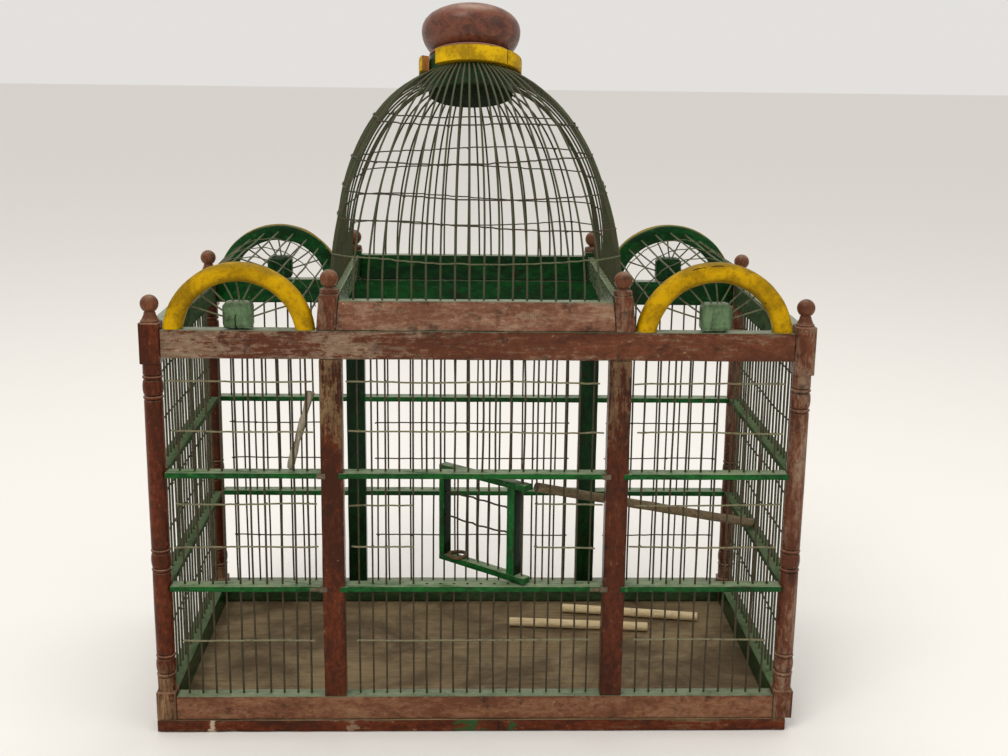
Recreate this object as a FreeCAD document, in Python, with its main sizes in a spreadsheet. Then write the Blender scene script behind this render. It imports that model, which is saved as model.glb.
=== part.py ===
"""A wooden bird cage with turned corner posts, wire walls, a wire dome and two barrel vaults.

X runs to the right, Y to the back and Z up, in millimetres. The origin is on the ground,
in the middle of the cage. The small front door is drawn ajar, as it stands at rest.
"""
import FreeCAD, Part
import math
import os
import re

import Sketcher

Vector = FreeCAD.Vector
Rotation = FreeCAD.Rotation

# Counts of what repeats
TURNED_SIDES = 8
CROWN_SIDES = 24
ARCH_CHORDS = 10
DOME_WIRE_CHORDS = 3
HOOP_CHORDS = 8
FIRST_WIRE = 1
SIDE_BAY_WIRES = 10
MIDDLE_BAY_WIRES = 18
END_WALL_WIRES = 20
LAST_LEFT_OF_DOOR = 5
HINGE_WIRE = 13
DOOR_WIRES = 5
DOME_SIDE_WIRES = 18
VAULT_WIRES = 11
FAN_SPOKES = 9

# Shares of a turned group's length and radius, from its lower end to its upper end
TURNING_SHARES = (
    (0.00, 0.84), (0.10, 0.98), (0.22, 0.72), (0.50, 1.02), (0.78, 0.72), (0.90, 0.98), (1.00, 0.84),
)
# Shares of a finial ball's radius: how far each ring lies above the centre, and how wide it is
BALL_SHARES = ((-0.86, 0.50), (-0.45, 0.90), (0.05, 1.00), (0.58, 0.80), (0.95, 0.26))
# Shares of the knob's radius and height, from its neck to its crown
KNOB_SHARES = ((0.81, 0.01), (0.95, 0.15), (1.00, 0.40), (0.93, 0.66), (0.72, 0.87), (0.36, 1.00))
# Shares of a rounded section's width and depth that its bevels take
BEVEL_SHARE = 0.28
# A vault hub's outline as shares of its width and height
HUB_SHARES = ((-0.5, 0), (0.5, 0), (0.5, 0.84), (0.38, 1), (-0.38, 1), (-0.5, 0.84))
# From one stile to the next and from one dome post to the next, as shares of the cage's width
STILE_SPACING_SHARE = 0.4311
DOME_SPACING_SHARE = 0.442
# An arch's rise and band, and its hub's width and height, as shares of its span
ARCH_RISE_SHARE = 0.44
ARCH_BAND_SHARE = 0.124
HUB_WIDTH_SHARE = 0.197
HUB_HEIGHT_SHARE = 0.186
# How far up its hub a fan's spokes meet
FAN_CENTRE_SHARE = 0.35
# A leaning perch's axis from the wire it leans on, as a share of its radius
LEAN_SHARE = 1.2
# The end wall wire that the sloping perch passes by, and how far towards the next one it ends
PERCH_WIRE_NUMBER = END_WALL_WIRES // 2 + 1
PERCH_END_SHARE = 0.585
# The floor dowels' middles as shares of width and depth, and how they are turned, in degrees
FLOOR_DOWEL_SHARES = ((0.1894, 0.1927, -5.3), (0.2903, 0.3019, -9.7))
# Where the bands cross the dome wires, as shares of the height from base boards to collar
DOME_BAND_SHARES = (0.15, 0.31, 0.46, 0.61, 0.78)
# The wires of one dome side, as shares of its count, at which a band bends
BAND_BEND_SHARES = (0.0, 0.25, 0.5, 0.75, 1.0)
# Where the hoops cross a vault, as shares of its length
HOOP_SHARES = (0.25, 0.5, 0.75)

SIZES = (
    # The frame
    ("cage_width", 610, "over the corner posts"),
    ("cage_depth", 308, "over the corner posts"),
    ("post_side", 19, "square blocks of the corner posts"),
    ("floor_thick", 13, "floor board under the posts"),
    ("floor_short", 6, "floor board stops this far inside the right posts"),
    ("rail_depth", 17, "rails and stiles, front to back"),
    ("bottom_rail_height", 24, ""),
    ("top_rail_base", 366, "underside of the top rails above the ground"),
    ("top_rail_height", 26.5, ""),
    ("tower_shift", -3.4, "middle bay and dome base, off the centre line"),
    ("stile_width", 21, ""),
    ("cross_rail_thick", 5.8, ""),
    ("low_rail_top", 148.4, "top of the lower cross rails above the ground"),
    ("high_rail_top", 259.2, "top of the upper cross rails above the ground"),
    ("housing_depth", 4.5, "cross rails let into the stiles"),
    ("tenon_width", 7, "stub tenons of the cross rails in the turned posts"),
    ("tenon_length", 4, ""),
    # The wires
    ("wire_size", 1.8, "upright wires"),
    ("tie_size", 1.2, "thin wires tied across them"),
    ("tie_row_one", 92, "rows of ties above the ground"),
    ("tie_row_two", 185, ""),
    ("tie_row_three", 227, ""),
    ("tie_row_four", 297, ""),
    ("tie_row_five", 344, ""),
    # The turned posts
    ("shaft_radius", 8, ""),
    ("foot_block_height", 28.8, ""),
    ("turning_length", 21, "one bead, ball and bead"),
    ("turning_radius", 9.3, ""),
    ("low_turning_base", 56.8, "above the ground"),
    ("middle_turning_base", 162.3, "above the ground"),
    ("high_turning_base", 327.8, "above the ground"),
    ("head_block_base", 360.6, "above the ground"),
    ("head_block_top", 398.5, "above the ground"),
    ("right_turning_drop", 9.5, "upper turnings of the right posts sit lower"),
    ("right_block_drop", 7.1, "head blocks of the right posts start lower"),
    ("shoulder_height", 6, "cone between head block and finial neck"),
    ("shoulder_radius", 9, ""),
    ("neck_radius", 4.6, "finial necks"),
    ("ball_radius", 8.3, "finial balls"),
    ("ball_rise", 16, "from head block to the centre of its ball"),
    # The door
    ("door_gap", 0.8, "between the shut door's edge and the wire beside it"),
    ("door_lift", 1.2, "door above the lower cross rail"),
    ("door_height", 98, ""),
    ("door_thick", 11, ""),
    ("door_rail_height", 6.5, ""),
    ("door_horn", 6, "door rails past the hinge wire"),
    ("hinge_stile_offset", 5.5, "from the hinge wire to its stile"),
    ("hinge_stile_width", 9.5, ""),
    ("latch_stile_width", 7, ""),
    ("hinge_clearance", 0.05, "all round the hinge wire"),
    ("door_rest_angle", 41, "how far it stands open, in degrees"),
    ("door_tie_low", 45, "ties above the foot of the door"),
    ("door_tie_high", 69, ""),
    ("ring_radius", 10, "iron ring on the first door wire"),
    ("ring_width", 3.2, ""),
    ("ring_height", 3, ""),
    # The dome's base
    ("dome_post_width", 18, ""),
    ("dome_post_height", 32.5, ""),
    ("dome_post_lean", 3, "how far a post's top leans inwards"),
    ("dome_board_height", 27.5, ""),
    ("dome_board_thick", 14, ""),
    ("bead_radius", 8.6, "ring under the ball of a dome post"),
    ("bead_height", 5, ""),
    ("dome_ball_rise", 13.4, "from a dome post's top to the centre of its ball"),
    # The dome's crown, which leans back
    ("crown_shift", -8.8, "crown, off the centre line"),
    ("crown_base", 614.6, "middle of the collar's underside above the ground"),
    ("crown_tilt_angle", 18, "degrees"),
    ("hub_radius", 41, ""),
    ("hub_drop", 27, "hub below the collar"),
    ("collar_radius", 49.5, ""),
    ("collar_height", 15.8, ""),
    ("collar_clearance", 0.3, "between collar and hub, and between wire ends and collar"),
    ("collar_joint", 1.2, "gap between two collar blocks"),
    ("wire_turn_angle", 61, "how far a dome wire bends over, in degrees"),
    ("knob_neck_radius", 38, ""),
    ("knob_neck_height", 5.4, ""),
    ("knob_radius", 48, ""),
    ("knob_height", 46, ""),
    # The vaults
    ("arch_clearance", 0.9, "between an arch and the posts on either side"),
    ("arch_depth", 17, ""),
    ("vault_hub_depth", 17, ""),
    ("fan_angle", 152, "from the first spoke of a fan to its last, in degrees"),
    ("vault_angle", 150, "from the first wire of a vault to its last, in degrees"),
    # Perches
    ("perch_radius", 4.4, "sloping perch"),
    ("perch_top", 242, "upper end of the sloping perch above the ground"),
    ("stick_radius", 3.2, "leaning stick"),
    ("stick_length", 76, ""),
    ("stick_lean_angle", 15.7, "degrees"),
    ("stick_reach", 29, "foot of the stick, from the stile beside it"),
    ("dowel_radius", 5, "dowels on the floor"),
    ("dowel_length", 154, ""),
    ("rest_clearance", 0.05, "between a loose piece and what it rests on"),
)

DERIVED = (
    ("stile_spacing", f"{STILE_SPACING_SHARE} * cage_width"),
    ("dome_post_spacing", f"{DOME_SPACING_SHARE} * cage_width"),
    ("post_x", "cage_width / 2 - post_side / 2"),
    ("post_y", "cage_depth / 2 - post_side / 2"),
    ("rail_run_x", "cage_width - 2 * post_side"),
    ("rail_run_y", "cage_depth - 2 * post_side"),
    ("cross_rail_depth", "2 * shaft_radius"),
    ("wall_base", "floor_thick + bottom_rail_height"),
    ("frame_top", "top_rail_base + top_rail_height"),
    ("left_stile_x", "tower_shift - stile_spacing / 2"),
    ("right_stile_x", "tower_shift + stile_spacing / 2"),
    ("left_bay_start", "-post_x + shaft_radius"),
    ("left_bay_run", "left_stile_x - stile_width / 2 - left_bay_start"),
    ("middle_bay_start", "left_stile_x + stile_width / 2"),
    ("middle_bay_run", "stile_spacing - stile_width"),
    ("right_bay_start", "right_stile_x + stile_width / 2"),
    ("right_bay_run", "post_x - shaft_radius - right_bay_start"),
    ("end_wall_start", "-post_y + shaft_radius"),
    ("end_wall_run", "2 * post_y - 2 * shaft_radius"),
    ("left_pitch", f"left_bay_run / {SIDE_BAY_WIRES + 1}"),
    ("middle_pitch", f"middle_bay_run / {MIDDLE_BAY_WIRES + 1}"),
    ("right_pitch", f"right_bay_run / {SIDE_BAY_WIRES + 1}"),
    ("end_pitch", f"end_wall_run / {END_WALL_WIRES + 1}"),
    ("hinge_x", f"middle_bay_start + {HINGE_WIRE} * middle_pitch"),
    ("door_base", "low_rail_top + door_lift"),
    ("door_reach", f"{HINGE_WIRE - LAST_LEFT_OF_DOOR} * middle_pitch - wire_size / 2 - door_gap"),
    ("door_wire_start", "-door_reach + latch_stile_width"),
    ("door_wire_run", "door_reach - latch_stile_width - hinge_stile_offset - hinge_stile_width"),
    ("door_pitch", f"door_wire_run / {DOOR_WIRES + 1}"),
    ("board_lean", "dome_post_lean * dome_board_height / dome_post_height"),
    ("board_top", "frame_top + dome_board_height"),
    ("board_half", "dome_post_spacing / 2 - dome_post_width / 2"),
    ("dome_front_y", "post_y + rail_depth / 2 - dome_board_thick / 2"),
    ("dome_side_x", "dome_post_spacing / 2 - board_lean"),
    ("arch_back", "post_y - arch_depth / 2"),
    ("collar_bore", "hub_radius + collar_clearance"),
    ("collar_joint_angle", "collar_joint / collar_radius * 90 / pi"),
)
# Each vault fills the room between a corner post and a dome post, and the rest of its sizes follow
for side, sign in (("left", "-1"), ("right", "1")):
    outer = f"({sign} * (post_x - post_side / 2))"
    inner = f"(tower_shift + {sign} * (dome_post_spacing + dome_post_width) / 2)"
    DERIVED += (
        (f"{side}_vault_x", f"({outer} + {inner}) / 2"),
        (f"{side}_arch_span", f"{sign} * ({outer} - {inner}) - 2 * arch_clearance"),
        (f"{side}_arch_height", f"{ARCH_RISE_SHARE} * {side}_arch_span"),
        (f"{side}_arch_band", f"{ARCH_BAND_SHARE} * {side}_arch_span"),
        (f"{side}_hub_width", f"{HUB_WIDTH_SHARE} * {side}_arch_span"),
        (f"{side}_hub_height", f"{HUB_HEIGHT_SHARE} * {side}_arch_span"),
        (f"{side}_arch_radius",
         f"({side}_arch_span ^ 2 / 4 + {side}_arch_height ^ 2) / (2 * {side}_arch_height)"),
        (f"{side}_arch_drop", f"{side}_arch_radius - {side}_arch_height"),
        (f"{side}_wire_radius", f"{side}_arch_radius - {side}_arch_band / 2"),
        (f"{side}_fan_rise", f"{side}_arch_drop + {FAN_CENTRE_SHARE} * {side}_hub_height"),
        (f"{side}_hoop_radius",
         f"({side}_wire_radius + wire_size / sqrt(2)) / cos(vault_angle / {2 * HOOP_CHORDS})"),
    )

doc = FreeCAD.newDocument("BirdCage")
dims = doc.addObject("Spreadsheet::Sheet", "Dims")
for row, (alias, value, note) in enumerate(SIZES, start=1):
    dims.set(f"A{row}", alias)
    dims.set(f"B{row}", str(value))
    dims.set(f"C{row}", note)
    dims.setAlias(f"B{row}", alias)
for row, (alias, formula) in enumerate(DERIVED, start=len(SIZES) + 1):
    dims.set(f"A{row}", alias)
    dims.set(f"B{row}", "=" + formula)
    dims.setAlias(f"B{row}", alias)
doc.recompute()

NAMES = {entry[0] for entry in SIZES + DERIVED}
nodes = {}


def linked(text):
    """An expression with each size's name pointed at its cell."""
    return re.sub(r"[a-z][a-z_]*", lambda m: "Dims." + m.group() if m.group() in NAMES else m.group(), text)


def size(text):
    """The present value of an expression on the sheet's sizes."""
    return float(dims.evalExpression(text))


def bind(thing, **links):
    """Ties properties of an object to expressions on the sheet."""
    for name, text in links.items():
        thing.setExpression(name, linked(text))
    return thing


def place(thing, x="0", y="0", z="0", axis=None, angle=None):
    """Ties an object's place to the sheet, and its turn about an axis where it has one."""
    if axis is not None:
        thing.Placement = FreeCAD.Placement(Vector(), Rotation(axis, 1))
        thing.setExpression("Placement.Rotation.Angle", linked(angle))
    for letter, text in zip("xyz", (x, y, z)):
        thing.setExpression(f"Placement.Base.{letter}", linked(text))
    return thing


def box(name, at, along):
    """A block with its low corner at a place, and its three lengths."""
    block = doc.addObject("Part::Box", name)
    bind(block, Length=along[0], Width=along[1], Height=along[2])
    return place(block, *at)


def cylinder(name, radius, height, **where):
    rod = doc.addObject("Part::Cylinder", name)
    bind(rod, Radius=radius, Height=height)
    return place(rod, **where)


def prism(name, sides, radius, height, **where):
    rod = doc.addObject("Part::Prism", name)
    rod.Polygon = sides
    bind(rod, Circumradius=radius, Height=height)
    return place(rod, **where)


def group(name, members):
    compound = doc.addObject("Part::Compound", name)
    compound.Links = members
    return compound


def fuse(name, members):
    whole = doc.addObject("Part::MultiFuse", name)
    whole.Shapes = members
    whole.Refine = True
    return whole


def cut(name, base, tools):
    rest = doc.addObject("Part::Cut", name)
    rest.Base = base
    rest.Tool = tools[0] if len(tools) == 1 else group(name + "_tools", tools)
    return rest


def solid(name, shape):
    """A shape that no primitive or sketch gives, made from the sheet's present sizes."""
    feature = doc.addObject("Part::Feature", name)
    feature.Shape = shape
    return feature


def node(label, thing):
    """Names a finished sub-part."""
    thing.Label = label
    nodes[label] = thing


def sketched_body(name, points):
    """A body with one closed outline of straight lines in its XY plane, every corner tied to the sheet."""
    body = doc.addObject("PartDesign::Body", name)
    sketch = body.newObject("Sketcher::SketchObject", name + "_outline")
    plane = next(item for item in body.Origin.OriginFeatures if item.Role == "XY_Plane")
    sketch.AttachmentSupport = (plane, "")
    sketch.MapMode = "FlatFace"
    corners = [Vector(size(x), size(y), 0) for x, y in points]
    count = len(points)
    for k in range(count):
        sketch.addGeometry(Part.LineSegment(corners[k], corners[(k + 1) % count]), False)
    for k, (x, y) in enumerate(points):
        sketch.addConstraint(Sketcher.Constraint("Coincident", k, 2, (k + 1) % count, 1))
        for kind, text, here in (("DistanceX", x, corners[k].x), ("DistanceY", y, corners[k].y)):
            index = sketch.addConstraint(Sketcher.Constraint(kind, -1, 1, k, 1, here))
            sketch.renameConstraint(index, f"{kind}{k}")
            sketch.setExpression(f"Constraints.{kind}{k}", linked(text))
    return body, sketch


def padded(name, points, length, **where):
    """An outline padded along its normal."""
    body, sketch = sketched_body(name, points)
    pad = body.newObject("PartDesign::Pad", name + "_pad")
    pad.Profile = sketch
    bind(pad, Length=length)
    return place(body, **where)


def rounded_outline(x, y, width, height):
    """A rectangle's outline with bevelled corners, from its low corner."""
    near, far = BEVEL_SHARE, 1 - BEVEL_SHARE
    shares = ((near, 0), (far, 0), (1, near), (1, far), (far, 1), (near, 1), (0, far), (0, near))
    return [(f"{x} + {u} * ({width})", f"{y} + {v} * ({height})") for u, v in shares]


def faceted(rings):
    """A solid with flat faces between rings of points, one after another, and a face on each end."""
    faces = [Part.Face(Part.makePolygon([*ring, ring[0]])) for ring in (rings[0], rings[-1])]
    count = len(rings[0])
    for lower, upper in zip(rings, rings[1:]):
        for k in range(count):
            n = (k + 1) % count
            faces.append(Part.Face(Part.makePolygon([lower[k], lower[n], upper[n], upper[k], lower[k]])))
    shape = Part.Solid(Part.Shell(faces))
    return shape if shape.Volume > 0 else shape.reversed()


def turned(name, rings, sides=TURNED_SIDES):
    """A turned length: many-sided rings, each with its height and radius, joined by flat flanks."""
    turns = [2 * math.pi * k / sides for k in range(sides)]
    sections = []
    for height, radius in rings:
        h, r = size(height), size(radius)
        sections.append([Vector(r * math.cos(t), r * math.sin(t), h) for t in turns])
    return solid(name, faceted(sections))


def turning_rings(base):
    """One bead, ball and bead, from a height upwards."""
    return [(f"{base} + {h} * turning_length", f"{r} * turning_radius") for h, r in TURNING_SHARES]


def ball_rings(centre, neck):
    """A finial ball on its neck, whose foot is at the given height."""
    rings = [(neck, "neck_radius")]
    return rings + [(f"{centre} + {h} * ball_radius", f"{r} * ball_radius") for h, r in BALL_SHARES]


RAIL_SPANS = {
    "low": ("wall_base", "low_rail_top - cross_rail_thick"),
    "middle": ("low_rail_top", "high_rail_top - cross_rail_thick"),
    "high": ("high_rail_top", "top_rail_base"),
}


def upright_wires(name, numbers, start, pitch, line, spans=tuple(RAIL_SPANS.values()), along="x"):
    """Upright wires in a row, in lengths between rails, each its number of pitches from the start."""
    wires = []
    for k in numbers:
        across = f"{start} + {k} * {pitch} - wire_size / 2"
        spot = (across, f"{line} - wire_size / 2") if along == "x" else (f"{line} - wire_size / 2", across)
        for n, (foot, head) in enumerate(spans):
            lengths = ("wire_size", "wire_size", f"{head} - ({foot})")
            wires.append(box(f"{name}_{k}_{n}", (*spot, foot), lengths))
    return wires


# Floor board
node("floor_board", box("Floor", ("-cage_width / 2", "-cage_depth / 2", "0"),
                        ("cage_width - floor_short", "cage_depth", "floor_thick")))

# Bottom and top rails between the posts' square blocks
for level, base, height in (("bottom", "floor_thick", "bottom_rail_height"),
                            ("top", "top_rail_base", "top_rail_height")):
    for wall, sign in (("front", "-"), ("rear", "")):
        rail = box(f"{level}_rail_{wall}", ("-rail_run_x / 2", f"{sign}post_y - rail_depth / 2", base),
                   ("rail_run_x", "rail_depth", height))
        node(f"{level}_rail_{wall}", rail)
    ends = [box(f"{level}_rail_{wall}", (f"{sign}post_x - rail_depth / 2", "-rail_run_y / 2", base),
                ("rail_depth", "rail_run_y", height))
            for wall, sign in (("left", "-"), ("right", ""))]
    node(f"{level}_rails_side", group(f"{level}_side_pair", ends))

# Upright wires of the front, rear and end walls
ALL_SIDE_BAY = range(FIRST_WIRE, SIDE_BAY_WIRES + 1)
ALL_MIDDLE_BAY = range(FIRST_WIRE, MIDDLE_BAY_WIRES + 1)
BESIDE_DOOR = [k for k in ALL_MIDDLE_BAY if k <= LAST_LEFT_OF_DOOR or k > HINGE_WIRE]
DOOR_BAY = range(LAST_LEFT_OF_DOOR + 1, HINGE_WIRE + 1)

wall_wires = {}
for wall, line in (("front", "-post_y"), ("rear", "post_y")):
    wall_wires[wall, "left"] = upright_wires(
        f"{wall}_left_wire", ALL_SIDE_BAY, "left_bay_start", "left_pitch", line)
    wall_wires[wall, "middle"] = upright_wires(
        f"{wall}_middle_wire", BESIDE_DOOR if wall == "front" else ALL_MIDDLE_BAY,
        "middle_bay_start", "middle_pitch", line)
    wall_wires[wall, "right"] = upright_wires(
        f"{wall}_right_wire", ALL_SIDE_BAY, "right_bay_start", "right_pitch", line)
hinge_wire = cylinder("Hinge_wire", "wire_size / 2", "high_rail_top - cross_rail_thick - low_rail_top",
                      x="hinge_x", y="-post_y", z="low_rail_top")
door_bay = (DOOR_BAY, "middle_bay_start", "middle_pitch", "-post_y")
over_door = upright_wires("over_door_wire", *door_bay, spans=[RAIL_SPANS["high"]])
under_door = upright_wires("under_door_wire", *door_bay, spans=[RAIL_SPANS["low"]])
node("front_wires_left", group("front_left_row", wall_wires["front", "left"]))
node("front_wires_right", group("front_right_row", wall_wires["front", "right"]))
node("front_wires_beside_door", group("front_middle_row", wall_wires["front", "middle"]))
node("front_wires_over_door", group("over_door_row", over_door))
node("front_wires_under_door", group("under_door_row", under_door))
node("hinge_wire", hinge_wire)
rear_row = wall_wires["rear", "left"] + wall_wires["rear", "middle"] + wall_wires["rear", "right"]
node("rear_wires", group("rear_row", rear_row))
for wall, line in (("left", "-post_x"), ("right", "post_x")):
    row = upright_wires(f"{wall}_wire", range(FIRST_WIRE, END_WALL_WIRES + 1),
                        "end_wall_start", "end_pitch", line, along="y")
    node(f"{wall}_wires", group(f"{wall}_row", row))

# Cross rails, with their ends let into stiles and posts
LEVELS = (("lower", "low_rail_top"), ("upper", "high_rail_top"))
housings = {}
mortises = {}
for wall, side in (("front", "-"), ("rear", "")):
    line = f"{side}post_y"
    for level, top in LEVELS:
        base = f"{top} - cross_rail_thick"
        rails = []
        for bay, start, run in (
                ("left", "left_bay_start", "left_bay_run + housing_depth"),
                ("middle", "middle_bay_start - housing_depth", "middle_bay_run + 2 * housing_depth"),
                ("right", "right_bay_start - housing_depth", "right_bay_run + housing_depth")):
            name = f"{wall}_{level}_{bay}"
            rail = box(f"{name}_bar", (start, f"{line} - cross_rail_depth / 2", base),
                       (run, "cross_rail_depth", "cross_rail_thick"))
            for stile in {"left": ("left",), "middle": ("left", "right"), "right": ("right",)}[bay]:
                housings.setdefault((wall, stile), []).append(rail)
            if bay != "middle":
                tip = "left_bay_start - tenon_length" if bay == "left" else "post_x - shaft_radius"
                tenon = box(f"{name}_tenon", (tip, f"{line} - tenon_width / 2", base),
                            ("tenon_length", "tenon_width", "cross_rail_thick"))
                mortises.setdefault((wall, bay), []).append(tenon)
                rail = fuse(f"{name}_rail", [rail, tenon])
            rails.append(rail)
        node(f"{wall}_cross_rails_{level}", group(f"{wall}_{level}_rails", rails))
for wall, side in (("left", "-"), ("right", "")):
    line = f"{side}post_x"
    rails = []
    for level, top in LEVELS:
        base = f"{top} - cross_rail_thick"
        rail = box(f"{wall}_{level}_bar", (f"{line} - cross_rail_depth / 2", "end_wall_start", base),
                   ("cross_rail_depth", "end_wall_run", "cross_rail_thick"))
        tenons = []
        for corner, tip in (("front", "end_wall_start - tenon_length"), ("rear", "post_y - shaft_radius")):
            tenon = box(f"{wall}_{level}_{corner}_tenon", (f"{line} - tenon_width / 2", tip, base),
                        ("tenon_width", "tenon_length", "cross_rail_thick"))
            mortises.setdefault((corner, wall), []).append(tenon)
            tenons.append(tenon)
        rails.append(fuse(f"{wall}_{level}_rail", [rail, *tenons]))
    node(f"{wall}_cross_rails", group(f"{wall}_rails", rails))

# Stiles of the front and rear walls, housed out for the cross rails
for wall, line in (("front", "-post_y"), ("rear", "post_y")):
    stiles = []
    for stile in ("left", "right"):
        blank = box(f"{wall}_{stile}_stile_blank",
                    (f"{stile}_stile_x - stile_width / 2", f"{line} - rail_depth / 2", "wall_base"),
                    ("stile_width", "rail_depth", "top_rail_base - wall_base"))
        stiles.append(cut(f"{wall}_{stile}_stile", blank, housings[wall, stile]))
    if wall == "front":
        node("front_stile_left", stiles[0])
        node("front_stile_right", stiles[1])
    else:
        node("rear_stiles", group("rear_stile_pair", stiles))

# Corner posts: square blocks at the rails, turned between them, with a ball on top
for corner, line in (("front", "-post_y"), ("rear", "post_y")):
    for wall, column in (("left", "-post_x"), ("right", "post_x")):
        name = f"{corner}_{wall}_post"
        drop, block_drop = ("0", "0") if wall == "left" else ("right_turning_drop", "right_block_drop")
        head_base = f"(head_block_base - {block_drop})"
        foot_top = "(floor_thick + foot_block_height)"
        half_post = "-post_side / 2"
        foot = box(f"{name}_foot", (half_post, half_post, "floor_thick"),
                   ("post_side", "post_side", "foot_block_height"))
        head = box(f"{name}_head", (half_post, half_post, head_base),
                   ("post_side", "post_side", f"head_block_top - {head_base}"))
        shaft = turned(f"{name}_shaft", [
            (foot_top, "shaft_radius"), *turning_rings("low_turning_base"),
            *turning_rings("middle_turning_base"),
            *turning_rings(f"high_turning_base - {drop}"), (head_base, "shaft_radius")])
        finial = turned(f"{name}_finial", [
            ("head_block_top", "shoulder_radius"),
            *ball_rings("head_block_top + ball_rise", "head_block_top + shoulder_height")])
        whole = place(fuse(f"{name}_blank", [foot, shaft, head, finial]), x=column, y=line)
        node(f"corner_post_{corner}_{wall}", cut(name, whole, mortises[corner, wall]))

# Ties across the upright wires, on their outer faces
ROWS = [f"tie_row_{word}" for word in ("one", "two", "three", "four", "five")]
DOOR_ROWS = ROWS[1:3]
REAR_ROWS = ROWS[:3]
ties = []


def tie(first, last, start, pitch, outer, height, along="x"):
    """One tie from one numbered wire of a row to another."""
    low = f"{start} + {first} * {pitch} - wire_size / 2"
    run = f"{last - first} * {pitch} + wire_size"
    base = f"{height} - tie_size / 2"
    spot, lengths = (low, outer), (run, "tie_size")
    if along == "y":
        spot, lengths = spot[::-1], lengths[::-1]
    ties.append(box(f"tie_{len(ties)}", (*spot, base), (*lengths, "tie_size")))


FRONT_FACE = "-post_y - wire_size / 2 - tie_size"
REAR_FACE = "post_y + wire_size / 2"
for height in ROWS:
    for outer in (FRONT_FACE, REAR_FACE) if height in REAR_ROWS else (FRONT_FACE,):
        tie(FIRST_WIRE, SIDE_BAY_WIRES, "left_bay_start", "left_pitch", outer, height)
        tie(FIRST_WIRE, SIDE_BAY_WIRES, "right_bay_start", "right_pitch", outer, height)
        if outer == FRONT_FACE and height in DOOR_ROWS:
            tie(FIRST_WIRE, LAST_LEFT_OF_DOOR, "middle_bay_start", "middle_pitch", outer, height)
            tie(HINGE_WIRE + 1, MIDDLE_BAY_WIRES, "middle_bay_start", "middle_pitch", outer, height)
        else:
            tie(FIRST_WIRE, MIDDLE_BAY_WIRES, "middle_bay_start", "middle_pitch", outer, height)
    for outer in ("-post_x - wire_size / 2 - tie_size", "post_x + wire_size / 2"):
        tie(FIRST_WIRE, END_WALL_WIRES, "end_wall_start", "end_pitch", outer, height, along="y")
node("tie_wires", group("all_ties", ties))


# The door, drawn about its hinge wire and then turned ajar
def hang(label, thing):
    """Puts a door piece on the hinge, at the angle the door stands open."""
    node(label, place(thing, x="hinge_x", y="-post_y", axis=Vector(0, 0, -1), angle="door_rest_angle"))


door_top = "door_base + door_height"
for label, base in (("door_bottom_rail", "door_base"), ("door_top_rail", f"{door_top} - door_rail_height")):
    rail = box(f"{label}_bar", ("-door_reach", "-door_thick / 2", base),
               ("door_reach + door_horn", "door_thick", "door_rail_height"))
    bore = cylinder(f"{label}_bore", "wire_size / 2 + hinge_clearance",
                    "top_rail_base - wall_base", z="wall_base")
    hang(label, cut(f"{label}_bored", rail, [bore]))
stile_base = "door_base + door_rail_height"
stile_height = "door_height - 2 * door_rail_height"
for label, start, width in (
        ("door_hinge_stile", "-hinge_stile_offset - hinge_stile_width", "hinge_stile_width"),
        ("door_latch_stile", "-door_reach", "latch_stile_width")):
    stile = box(f"{label}_bar", (start, "-door_thick / 2", stile_base), (width, "door_thick", stile_height))
    hang(label, group(f"{label}_hung", [stile]))
door_wires = upright_wires("door_wire", range(FIRST_WIRE, DOOR_WIRES + 1),
                           "door_wire_start", "door_pitch", "0",
                           spans=[(stile_base, f"{stile_base} + {stile_height}")])
door_ties = [box(f"door_tie_{k}", ("door_wire_start", "-wire_size / 2 - tie_size", f"door_base + {height}"),
                 ("door_wire_run", "tie_size", "tie_size"))
             for k, height in enumerate(("door_tie_low", "door_tie_high"))]
hang("door_wires", group("door_wires_hung", door_wires + door_ties))
ring_spot = {"x": "door_wire_start + door_pitch", "z": stile_base}
ring_blank = prism("Ring_blank", TURNED_SIDES, "ring_radius", "ring_height", **ring_spot)
ring_hole = prism("Ring_hole", TURNED_SIDES, "ring_radius - ring_width", "ring_height", **ring_spot)
hang("door_ring", cut("Ring", ring_blank, [ring_hole]))

# The dome's base: four leaning posts, with boards between them
UPRIGHT = {"axis": Vector(1, 0, 0), "angle": "90"}
for wall, back in (("front", "-post_y + rail_depth / 2"), ("rear", "post_y + rail_depth / 2")):
    posts = []
    for side, sign in (("left", "-1"), ("right", "1")):
        name = f"dome_{wall}_{side}_post"
        half = "dome_post_width / 2"
        lean = f"-({sign}) * dome_post_lean"
        block = padded(f"{name}_block", [
            (f"-{half}", "0"), (half, "0"), (f"{half} + {lean}", "dome_post_height"),
            (f"-{half} + {lean}", "dome_post_height")], "rail_depth", y="rail_depth / 2", **UPRIGHT)
        finial = place(turned(f"{name}_finial", [
            ("0", "0.92 * bead_radius"), ("bead_height / 2", "bead_radius"),
            *ball_rings("dome_ball_rise", "bead_height")]), x=lean, z="dome_post_height")
        posts.append(place(fuse(name, [block, finial]), x=f"tower_shift + {sign} * dome_post_spacing / 2",
                           y=f"{back} - rail_depth / 2", z="frame_top"))
    node(f"dome_posts_{wall}", group(f"dome_{wall}_posts", posts))
    edge = back if wall == "rear" else "-post_y - rail_depth / 2 + dome_board_thick"
    node(f"dome_board_{wall}", padded(f"dome_{wall}_board", [
        ("-board_half", "0"), ("board_half", "0"), ("board_half - board_lean", "dome_board_height"),
        ("-board_half + board_lean", "dome_board_height")],
        "dome_board_thick", x="tower_shift", y=edge, z="frame_top", **UPRIGHT))
boards = []
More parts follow.
